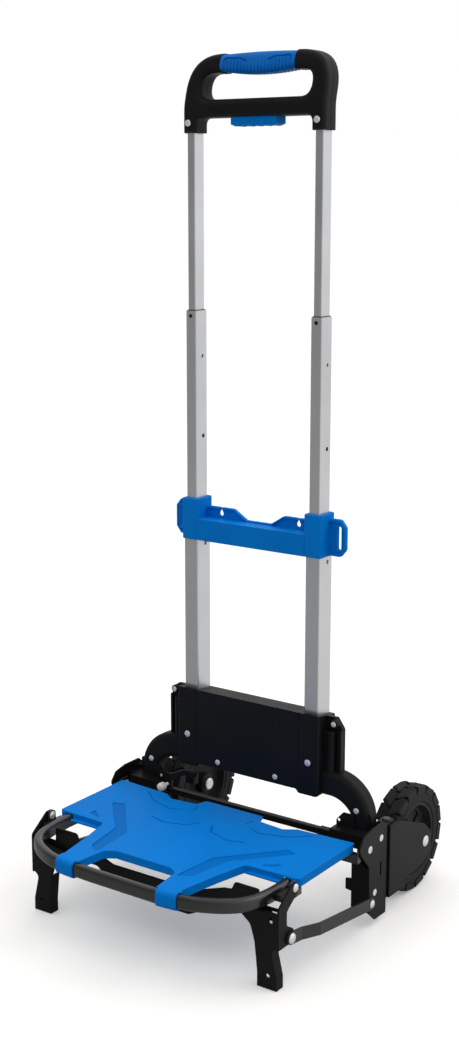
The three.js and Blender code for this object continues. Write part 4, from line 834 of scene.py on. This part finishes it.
flange = slab(roundCorners([
    [innerFace + 1, foot + 13], [innerFace + 1, hingeZ - 26], [inner + 8, hingeZ - 16, 4],
    [inner, hingeZ - 20, 3], [inner, 61], [inner - 8, 60, 1], [inner - 8, 46, 1], [inner, 45],
    [inner, foot + 15, 2],
]), bracket["front"], bracket["front"] + bracket["sheet"], "y", edge, steps=2)
strapFront = bracket["rod"][0] - 0.3 - bracket["sheet"]
tongue, gusset, sheet = bracket["tongue"], bracket["gusset"], bracket["sheet"]
knobLow, knobHigh = spanOf("latch_knob")
knobEdge = -knobLow.x + 1.4
armTop = bracket["armTop"]
pieces = [
    flange,
    block(bracket["armInner"], knobEdge + 2, strapFront, bracket["rod"][0] - 0.3, bracket["armLow"],
          (knobLow.z + knobHigh.z) / 2 - 7, 0.4),
    block(knobEdge, 178.5, strapFront, bracket["rod"][0] - 0.3, bracket["armLow"], armTop, 0.4),
    block(knobEdge, 154, strapFront, gusset + sheet, armTop - sheet, armTop, 0.4),
    block(152, 178.5, strapFront, tongue + sheet, armTop - sheet, armTop, 0.4),
    block(156, innerFace + 1, hingeY + 11, back, armTop - sheet, armTop, 0.4),
    slab(roundCorners([[knobEdge + 0.5, armTop - 1], [155, armTop - 1], [155, armTop + 17, 4],
                       [139, armTop + 17, 3], [knobEdge + 0.5, armTop + 7, 3]]), gusset,
                       gusset + sheet, "y", 0.4),
    slab(rectangle(165, 175, armTop - 1, armTop + 20, 3), tongue, tongue + sheet, "y", 0.4),
    block(innerFace - 14, innerFace + 1, back - sheet, back, foot + 12, armTop, 0.4),
    block(inner + 1, innerFace + 1, hingeY + 11, hingeY + 13.5, 62, armTop, 0.4),
]
lugShape = roundCorners([[innerFace + 1, -9], [innerFace + 1, bracket["pinY"]],
                         [bracket["pinX"] + 7, bracket["pinY"] + 8, 7],
                         [bracket["pinX"] - 8, bracket["pinY"] + 8, 7], [bracket["pinX"] - 8, 7.6, 2],
                         [181.1, 7.6], [181.1, -9]])
pinLow, pinHigh = spanOf("carrier_pin_right")
lugHeights = (pinLow.z + 2.3, pinHigh.z - 5.4)
for z in lugHeights:
    pieces.append(slab(lugShape, z, z + 3, "z", 0.5, steps=2))
pieces.append(block(bracket["pinX"] - 8, innerFace + 1, back - 1, 9, lugHeights[0], lugHeights[0] + 3))
whole = joined(side, *pieces)
holes = [slab(circle(bracket["pinX"], bracket["pinY"], 4.15, 24), 0, 200, "z"),
         slab(circle(hingeY, hingeZ, 2.4, 20), innerFace - 4, 200, "x"),
         slab(circle(-34.5, 35.5, 2.4, 20), innerFace - 4, 200, "x"),
         slab(circle(133, 122.5, 2.4, 20), gusset - 1, gusset + 4, "y")]
finishedPair(carved(whole, *holes), "cornerBracket_{side}", "blackPowder", "chassis", "corner_bracket_{side}")

low, high = spanOf("cross_rod")
finished(block(low.x, high.x, low.y, high.y, low.z, high.z, 0.8, 0.8), "crossRod", "blackPowder", "chassis",
         ["cross_rod"])
# on the right, where no knob stands, a sleeve closes the rod's end up to the strap
finished(block(high.x - 5, knobEdge + 1, low.y - 0.9, high.y + 0.9, low.z - 0.9, high.z + 0.9, 0.5), "rodSleeve",
         "blackPowder", "chassis")

latch = {"x": 133, "z": 122.5, "front": -23.6, "back": -18.7, "knobX": 122.5, "knobZ": 112.9}
x, z, knobX, knobZ = latch["x"], latch["z"], latch["knobX"], latch["knobZ"]
lever = slab(roundCorners([
    [-x - 5.6, z - 5.6, 5], [-knobX - 5.4, z - 5.6, 1], [-knobX - 5, knobZ - 4.5, 4],
    [-knobX + 5, knobZ - 4.5, 4], [-knobX + 6, z - 4, 4], [-96, 130, 6], [-76, 131, 2], [-76, 137.5, 3],
    [-97, 137.5, 8], [-118, z + 5, 6], [-x - 5.6, z + 5.6, 5]]), latch["front"], latch["back"], "y", 0.9)
pad = block(-93, -79, latch["front"], latch["back"] + 3.6, 121, 133, 0.8)
ridges = [block(gx - 0.7, gx + 0.7, -40, latch["front"] + 0.8, 122, 130) for gx in (-91, -87.4, -83.8)]
lever = carved(joined(lever, pad), *ridges, slab(circle(-x, z, 2.4, 20), -40, 0, "y"))
finished(lever, "latchLever", "blackPowder", "latch", ["latch_lever"])
knob = [(0, -18), (2.2, -17.9), (3.9, -17.3), (5.1, -16.1), (5.5, -14.4), (5.5, -9.6), (5.3, -8.9), (4.6, -8.4),
        (2.4, -8.2), (2.4, 2.5), (0, 2.5)]
finished(spun(knob, (-knobX, latch["front"], knobZ), "y", 36), "latchKnob", "whiteKnob", "latch", ["latch_knob"])
print("brackets and latch ready")


# front legs and side links

legs = {"outer": 181.5, "front": -221, "back": -204, "foldBack": -207, "sheet": 2.5, "flangeTop": 92, "eye": 6.4,
        "link": {"sheet": 3, "width": 15, "front": (-199, 57), "rear": (-34.5, 35.5), "jog": (-178, -150)}}
linkY, linkZ = legs["link"]["front"]
rearY, rearZ = legs["link"]["rear"]
sheet, front0, top, eye = legs["sheet"], legs["front"], legs["flangeTop"], legs["eye"]
plateX = legs["outer"] - sheet
side = slab(roundCorners([
    [legs["back"], linkZ - 8, 3], [linkY + 9, linkZ - 8, 6], [linkY + 9, linkZ + 8, 6],
    [legs["back"], linkZ + 16, 5], [legs["back"], top - 2, 6], [legY + eye, legZ - eye, 5],
    [legY + eye, legZ + eye, eye - 0.3], [legY - eye, legZ + eye, eye - 0.3], [front0, top + 6, 8],
    [front0, linkZ - 8],
]), plateX, legs["outer"], "x", 0.7)
# the face leans outwards from the waist to the foot, with a fold down both edges
outerEdge = [[178.8, 0, 0], [178.8, 15, 6], [171.5, 46, 8], [181.5, 51.5, 3]]
innerEdge = [[152.6, 0, 0], [152.6, 17, 8], [149, 52, 10]]
face = slab(roundCorners([*outerEdge, [legs["outer"], top, 2], [168.5, top + 1, 4], [123, top - 6, 2],
                          [128, top - 9, 3], [143, top - 20, 12], *innerEdge[::-1]]),
            front0, front0 + sheet, "y", 0.3, [rectangle(168.3, 172.7, 79, 88, 2.2)], 3, 0.9)
folds = [
    slab(roundCorners([[178.74, 0.04], [178.74, 15, 6], [171.44, 46, 8], [180.6, 51.9], [176, 52], [169, 48, 5],
                       [176.3, 15, 5], [176.3, 0.04]]), front0 + 1.3, legs["foldBack"], "y", 0.5, lowBevel=0),
    slab(roundCorners([[152.66, 0.04], [152.66, 17, 8], [149.1, 51], [151.5, 51], [155.1, 17, 8], [155.1, 0.04]]),
         front0 + 1.3, legs["foldBack"], "y", 0.5, lowBevel=0),
]
cutters = [slab(circle(167, 16, 2.6, 24), front0 - 1, front0 + 4, "y"),
           slab(circle(legY, legZ, 2.4, 20), plateX - 1, 200, "x"),
           slab(circle(linkY, linkZ, 2.4, 20), plateX - 1, 200, "x")]
finishedPair(carved(joined(side, face, *folds), *cutters), "frontLeg_{side}", "blackPowder", "front_stand",
             "leg_{side}")

# plate between the two legs, low in the middle, with a raised end by each leg
plate = slab(roundCorners(bothSides([
    [51, 53.5, 4], [64, 59.5, 5], [84, 78, 8], [178.7, 78, 0], [178.7, 94, 3], [150, 94, 1], [149, 111, 3],
    [116, 111, 5], [112, 101.5, 4], [101, 100, 6], [60, 86, 10],
])), -212.5, -210, "y", 0.7)
slots = [slab(rectangle(sx * 171 - 5, sx * 171 + 5, 79.5, 90.5, 3), -214, -208, "y") for sx in (-1, 1)]
plate = carved(plate, *slots)
finished(plate, "legCrossPlate", "blackPowder", "front_stand", ["leg_cross_plate"])

link = legs["link"]
inX, outX = legs["outer"] + 0.5, outerFace + 0.5
j0, j1 = link["jog"]
thick, endRadius = link["sheet"], link["width"] / 2
strip = slab(roundCorners([
    [inX, linkY - 20], [inX + thick, linkY - 20], [inX + thick, j0, 6], [outX + thick, j1, 6],
    [outX + thick, rearY + 20], [outX, rearY + 20], [outX, j1 + 1, 6], [inX, j0 + 1, 6]]), 0, 120, "z")
angle = math.atan2(rearZ - linkZ, rearY - linkY)
capsule = (arcPoints(rearY, rearZ, endRadius, angle - math.pi / 2, angle + math.pi / 2, 14)
           + arcPoints(linkY, linkZ, endRadius, angle + math.pi / 2, angle + 1.5 * math.pi, 14))
bar = combine(strip, [slab(capsule, 170, 210, "x")], "INTERSECT")
bar = carved(bar, slab(circle(linkY, linkZ, 4.9, 28), 170, 210, "x"),
             slab(circle(rearY, rearZ, 2.4, 20), 170, 210, "x"))
finishedPair(softened(bar, 0.5, 2, 50), "sideLink_{side}", "greyPowder", "side_link_{side}", "link_{side}")
print("legs and links ready")


# wheels

wheels = {
    "radius": 68.1, "width": 30, "rim": 47, "hub": 13, "lugs": 16, "lugDepth": 3.6,
    "spokes": 6,
}
low, high = spanOf("tyre_right")
centre = ((low.x + high.x) / 2, (low.y + high.y) / 2, (low.z + high.z) / 2)
half = wheels["width"] / 2
tread = wheels["radius"] - wheels["lugDepth"]
rim = wheels["rim"]
carcass = spun([
    (rim + 0.2, -half + 1.6), (rim + 1.6, -half + 0.6), (rim + 4, -half + 0.4), (rim + 5, -half + 1.4),
    (rim + 6, -half + 1.4), (rim + 9, -half + 0.8), (tread - 5, -half + 1.2), (tread - 2, -half + 2.6),
    (tread - 0.4, -half + 5), (tread + 0.6, -half + 9), (tread + 0.9, 0), (tread + 0.6, half - 9),
    (tread - 0.4, half - 5), (tread - 2, half - 2.6), (tread - 5, half - 1.2), (rim + 9, half - 0.8),
    (rim + 6, half - 1.4), (rim + 5, half - 1.4), (rim + 4, half - 0.4), (rim + 1.6, half - 0.6),
    (rim + 0.2, half - 1.6),
], centre, "x", 96)
lugMeshes = []
pitch = 2 * math.pi * wheels["radius"] / wheels["lugs"]
for i in range(wheels["lugs"]):
    for sign in (-1, 1):
        shape = roundCorners([[sign * half, -0.42 * pitch, 1], [sign * (half - 7), -0.46 * pitch, 4],
                              [sign * 4, -0.16 * pitch, 4], [sign * 0.6, -0.14 * pitch, 1.5],
                              [sign * 0.6, 0.70 * pitch, 1.5], [sign * 4, 0.68 * pitch, 4],
                              [sign * (half - 7), 0.38 * pitch, 4], [sign * half, 0.42 * pitch, 1]], 4)
        lug = slab(shape, -9, 0, "z", 0.9, (), 3, 0)
        start = 2 * math.pi * (i + (0.5 if sign > 0 else 0)) / wheels["lugs"]
        for vert in lug.data.vertices:
            x, along, height = vert.co
            shoulder = max(0, abs(x) - (half - 5)) / 5
            radius = wheels["radius"] + height - 1.3 * shoulder ** 2
            t = start + along / wheels["radius"]
            vert.co = (centre[0] + x, centre[1] + radius * math.cos(t), centre[2] + radius * math.sin(t))
        lugMeshes.append(lug)
work = bmesh.new()
for lug in lugMeshes:
    work.from_mesh(lug.data)
    bpy.data.objects.remove(lug)
lugRing = objectFrom("lugs", work)
tyre = joined(carcass, lugRing)
finishedPair(tyre, "tyre_{side}", "tyreRubber", "wheel_{side}", "tyre_{side}", 28)

low, high = spanOf("wheel_rim_right")
bore = 5.35
hub = wheels["hub"]
disc = spun([
    (bore, low.x - centre[0]), (hub - 1.5, low.x - centre[0]), (hub, low.x - centre[0] + 1.5), (hub + 1.5, -5.5),
    (rim - 14, -4), (rim - 9, -5), (rim - 6.5, -9), (rim - 5, -half + 2), (rim - 4, -half + 1.5),
    (rim - 1, -half + 1.5), (rim, -half + 2.2), (rim, half - 2.2), (rim - 1, half - 1.5), (rim - 4, half - 1.5),
    (rim - 5, half - 2), (rim - 6.5, 9), (rim - 9, 5), (rim - 14, 4), (hub + 1.5, 5.5),
    (hub, high.x - centre[0] - 1.5), (hub - 1.5, high.x - centre[0]), (bore, high.x - centre[0]),
], centre, "x", 72)
windows = []
for i in range(wheels["spokes"]):
    a = 2 * math.pi * i / wheels["spokes"]
    windows.append(slab(roundCorners([
        [(hub + 6) * math.cos(a - 0.16), (hub + 6) * math.sin(a - 0.16), 2],
        [(rim - 13) * math.cos(a - 0.3), (rim - 13) * math.sin(a - 0.3), 4],
        [(rim - 12) * math.cos(a), (rim - 12) * math.sin(a), 8],
        [(rim - 13) * math.cos(a + 0.3), (rim - 13) * math.sin(a + 0.3), 4],
        [(hub + 6) * math.cos(a + 0.16), (hub + 6) * math.sin(a + 0.16), 2]]), centre[0] + 2.4,
        centre[0] + 20, "x"))
    windows[-1].data.transform(Matrix.Translation((0, centre[1], centre[2])))
finishedPair(carved(disc, *windows), "wheelRim_{side}", "blackMoulding", "wheel_{side}", "wheel_rim_{side}")

low, high = carrierLow, carrierHigh
hingePin = (bracket["pinX"], bracket["pinY"])
y, z = centre[1], centre[2]
plate = slab(roundCorners([
    [hingePin[1] - 9, low.z, 2], [hingePin[1] + 14, low.z, 3], [hingePin[1] + 24, low.z + 1, 3],
    [hingePin[1] + 28, low.z + 9, 6], [y, z - 26, 16], [y + 17, z - 16, 10], [y + 16, z + 8, 12],
    [y - 2, z + 24, 16], [hingePin[1] + 15, high.z - 1, 12], [hingePin[1] - 9, high.z, 2],
], 8), high.x - 3.2, high.x, "x", 1.1, (), 4, 0.4)
barrel = spun([(0, low.z), (8.6, low.z), (9.6, low.z + 1), (9.6, high.z - 1), (8.6, high.z), (0, high.z)],
              (*hingePin, 0), "z", 48)
boss = spun([(0, centre[0] + 17.6), (9, centre[0] + 17.6), (9, high.x - 1), (0, high.x - 1)], (0, y, z), "x", 32)
stiffeners = [block(hingePin[0] + 2, high.x - 2, hingePin[1], hingePin[1] + 16, z + dz - 1.5, z + dz + 1.5)
              for dz in (-22, 22)]
carrier = carved(joined(plate, barrel, boss, *stiffeners), slab(circle(*hingePin, 4.4, 26), 0, 200, "z"))
carrier = carved(carrier, slab(circle(y, z, 5.2, 26), 150, 210, "x"))
finishedPair(carrier, "wheelCarrier_{side}", "blackMoulding", "carrier_{side}", "wheel_carrier_{side}")
print("wheels ready")


# rivets and screws

fasteners = {"count": 36, "gap": 0.15, "dome": 0.42, "flatRise": 0.42}


def domed(start, direction, length, head, shank, rise):  # a domed head at each end of a shank
    gap = fasteners["gap"]
    dome = [(head * math.sin(t), -gap - rise * math.cos(t)) for t in [math.pi / 2 * k / 7 for k in range(8)]]
    far = [(r, length - d) for r, d in reversed(dome)]
    return spun([*dome, (shank, -gap), (shank, length + gap), *far], start, direction, fasteners["count"])


def pinAlong(node, direction, name, body, head, shank):
    low, high = spanOf(node.format(side="right"))
    axis = "xyz".index(direction)
    start = [(low[k] + high[k]) / 2 for k in range(3)]
    rise, gap = head * fasteners["dome"], fasteners["gap"]
    start[axis] = low[axis] + rise + gap
    length = high[axis] - low[axis] - 2 * rise - 2 * gap
    finishedPair(domed(start, direction, length, head, shank, rise), name, "zincSteel", body, node)


pinAlong("handle_rivet_{side}", "y", "handleRivet_{side}", "upper_stage", 4, 2.2)
pinAlong("leg_pin_{side}", "x", "legPin_{side}", "deck", 5, 2.2)
pinAlong("link_front_pin_{side}", "x", "linkFrontPin_{side}", "front_stand", 6.3, 2.2)

# flat heads on the corner brackets, low enough for the side links to pass
for label, y, z, radius in (("deckHinge", hingeY, hingeZ, 4.6), ("upperBracket", -9, 110, 4.2),
                            ("lowerBracket", -22.5, 45, 4.2)):
    flat = spun([(0, outerFace - 1.2), (radius, outerFace - 1.2), (radius, outerFace + 0.2),
                 (radius - 0.4, outerFace + 0.4), (0, outerFace + fasteners["flatRise"])], (0, y, z), "x", 36)
    finishedPair(flat, label + "Head_{side}", "zincSteel", "chassis")

low, high = spanOf("panel_screw_right")


def screwHead(x, z, face, head=4.2, rise=1.3, shank=1.6, depth=2.1):
    gap = fasteners["gap"]
    dome = [(head * math.sin(t), -gap - rise * math.cos(t)) for t in [math.pi / 2 * k / 6 for k in range(7)]]
    body = spun([*dome, (shank, -gap), (shank, depth), (0, depth)], (x, face, z), "y", 32)
    recess = joined(block(x - 2, x + 2, face - 3, face - 0.7, z - 0.4, z + 0.4),
                    block(x - 0.4, x + 0.4, face - 3, face - 0.7, z - 2, z + 2))
    return carved(body, recess)


face = low.y + 1.45
finishedPair(screwHead((low.x + high.x) / 2, (low.z + high.z) / 2, face), "panelScrew_{side}",
             "zincSteel", "chassis", "panel_screw_{side}")
finishedPair(screwHead(43.5, 159, face, 3.6, 1.2), "lowerScrew_{side}", "zincSteel", "chassis")
finishedPair(screwHead(120, 239, -10.5, 3.4, 1.1), "flangeScrew_{side}", "zincSteel", "chassis")
finishedPair(screwHead(156, 138, arm["front"], 3.8, 1.2), "armScrew_{side}", "zincSteel", "chassis")
print("fasteners ready")


# floor, light and camera

studio = {
    "floorSize": 12, "floorDrop": 0.0004, "floorTone": 0.9, "floorTint": (1.01, 1.0, 0.975), "bounceTone": 0.4,
    "floorGlow": 0.23, "paleSide": (0.58, 0.80, 0), "paleFrom": -0.35, "paleTo": 0.45,
    "skyLow": 0.25, "skyHigh": 1.25, "glossSide": (0.58, 0.80, 0.15), "glossLow": 0.17, "glossHigh": 1.15,
    "keyPower": 18, "keySize": 2.0, "keyPlace": (2.2, 1.2, 2.9), "keyTarget": (0, 0, 0.3),
}

floorWork = bmesh.new()
bmesh.ops.create_grid(floorWork, x_segments=2, y_segments=2, size=studio["floorSize"])
floorMesh = bpy.data.meshes.new("floor")
floorWork.to_mesh(floorMesh)
floorWork.free()
floor = bpy.data.objects.new("floor", floorMesh)
scene.collection.objects.link(floor)
floor.location.z = -studio["floorDrop"]
paper = bpy.data.materials.new("paper")
paper.use_nodes = True
tree = paper.node_tree
tree.nodes.clear()
diffuse = tree.nodes.new("ShaderNodeBsdfDiffuse")
tone = tree.nodes.new("ShaderNodeMapRange")
tone.inputs["To Min"].default_value = studio["bounceTone"]
tone.inputs["To Max"].default_value = studio["floorTone"]
glow = tree.nodes.new("ShaderNodeEmission")
path = tree.nodes.new("ShaderNodeLightPath")
lift = tree.nodes.new("ShaderNodeMath")
lift.operation = "MULTIPLY"
lift.inputs[1].default_value = studio["floorGlow"]
both = tree.nodes.new("ShaderNodeAddShader")
out = tree.nodes.new("ShaderNodeOutputMaterial")
tree.links.new(path.outputs["Is Camera Ray"], lift.inputs[0])
# mirrored in the pieces, the floor is pale at the back right and dim at the front left
spot = tree.nodes.new("ShaderNodeNewGeometry")
across = tree.nodes.new("ShaderNodeVectorMath")
across.operation = "DOT_PRODUCT"
across.inputs[1].default_value = studio["paleSide"]
side = tree.nodes.new("ShaderNodeMapRange")
side.inputs["From Min"].default_value = studio["paleFrom"]
side.inputs["From Max"].default_value = studio["paleTo"]
mirrored = tree.nodes.new("ShaderNodeMath")
mirrored.operation = "MULTIPLY"
either = tree.nodes.new("ShaderNodeMath")
either.operation = "MAXIMUM"
tree.links.new(spot.outputs["Position"], across.inputs[0])
tree.links.new(across.outputs["Value"], side.inputs["Value"])
tree.links.new(side.outputs["Result"], mirrored.inputs[0])
tree.links.new(path.outputs["Is Glossy Ray"], mirrored.inputs[1])
tree.links.new(path.outputs["Is Camera Ray"], either.inputs[0])
tree.links.new(mirrored.outputs[0], either.inputs[1])
tree.links.new(either.outputs[0], tone.inputs["Value"])
warm = tree.nodes.new("ShaderNodeVectorMath")
warm.operation = "SCALE"
warm.inputs[0].default_value = studio["floorTint"]
tree.links.new(tone.outputs["Result"], warm.inputs["Scale"])
tree.links.new(warm.outputs["Vector"], diffuse.inputs["Color"])
tree.links.new(lift.outputs[0], glow.inputs["Strength"])
tree.links.new(diffuse.outputs[0], both.inputs[0])
tree.links.new(glow.outputs[0], both.inputs[1])
tree.links.new(both.outputs[0], out.inputs["Surface"])
floorMesh.materials.append(paper)

# white behind everything; what the pieces mirror is dim at the front left and bright at the back right
world = bpy.data.worlds.new("studio")
scene.world = world
world.use_nodes = True
tree = world.node_tree
tree.nodes.clear()
path = tree.nodes.new("ShaderNodeLightPath")
place = tree.nodes.new("ShaderNodeTexCoord")
toward = tree.nodes.new("ShaderNodeVectorMath")
toward.operation = "DOT_PRODUCT"
toward.inputs[1].default_value = studio["glossSide"]
height = tree.nodes.new("ShaderNodeSeparateXYZ")


def graded(source, start, low, high):
    node = tree.nodes.new("ShaderNodeMapRange")
    node.inputs["From Min"].default_value = start
    node.inputs["From Max"].default_value = 1
    node.inputs["To Min"].default_value = low
    node.inputs["To Max"].default_value = high
    tree.links.new(source, node.inputs["Value"])
    return node.outputs["Result"]


def background(strength=None):
    node = tree.nodes.new("ShaderNodeBackground")
    node.inputs["Color"].default_value = (1, 1, 1, 1)
    node.inputs["Strength"].default_value = 1
    if strength:
        tree.links.new(strength, node.inputs["Strength"])
    return node


tree.links.new(place.outputs["Generated"], toward.inputs[0])
tree.links.new(place.outputs["Generated"], height.inputs[0])
sky = background(graded(height.outputs["Z"], 0, studio["skyLow"], studio["skyHigh"]))
mirrored = background(graded(toward.outputs["Value"], -1, studio["glossLow"], studio["glossHigh"]))
white = background()
chooseGloss = tree.nodes.new("ShaderNodeMixShader")
chooseCamera = tree.nodes.new("ShaderNodeMixShader")
out = tree.nodes.new("ShaderNodeOutputWorld")
tree.links.new(path.outputs["Is Glossy Ray"], chooseGloss.inputs["Fac"])
tree.links.new(sky.outputs[0], chooseGloss.inputs[1])
tree.links.new(mirrored.outputs[0], chooseGloss.inputs[2])
tree.links.new(path.outputs["Is Camera Ray"], chooseCamera.inputs["Fac"])
tree.links.new(chooseGloss.outputs[0], chooseCamera.inputs[1])
tree.links.new(white.outputs[0], chooseCamera.inputs[2])
tree.links.new(chooseCamera.outputs[0], out.inputs["Surface"])


def softLight(name, place, target, size, power):
    lamp = bpy.data.lights.new(name, "AREA")
    lamp.shape = "DISK"
    lamp.size = size
    lamp.energy = power
    holder = bpy.data.objects.new(name, lamp)
    scene.collection.objects.link(holder)
    holder.location = place
    holder.rotation_euler = (Vector(target) - Vector(place)).to_track_quat("-Z", "Y").to_euler()
    return holder


softLight("keyLight", studio["keyPlace"], studio["keyTarget"], studio["keySize"], studio["keyPower"])

view = {"place": (1.052508, -1.487998, 0.868593), "yaw": 35.23156, "pitch": 11.89247, "focal": 54.18}
camera = bpy.data.objects.new("camera", bpy.data.cameras.new("camera"))
scene.collection.objects.link(camera)
camera.location = view["place"]
camera.rotation_euler = (math.radians(90 - view["pitch"]), 0, math.radians(view["yaw"]))
camera.data.sensor_fit = "VERTICAL"
camera.data.sensor_height = 36
camera.data.lens = view["focal"]
camera.data.clip_start = 0.05
scene.camera = camera
scene.view_settings.view_transform = "Standard"
print("studio ready")
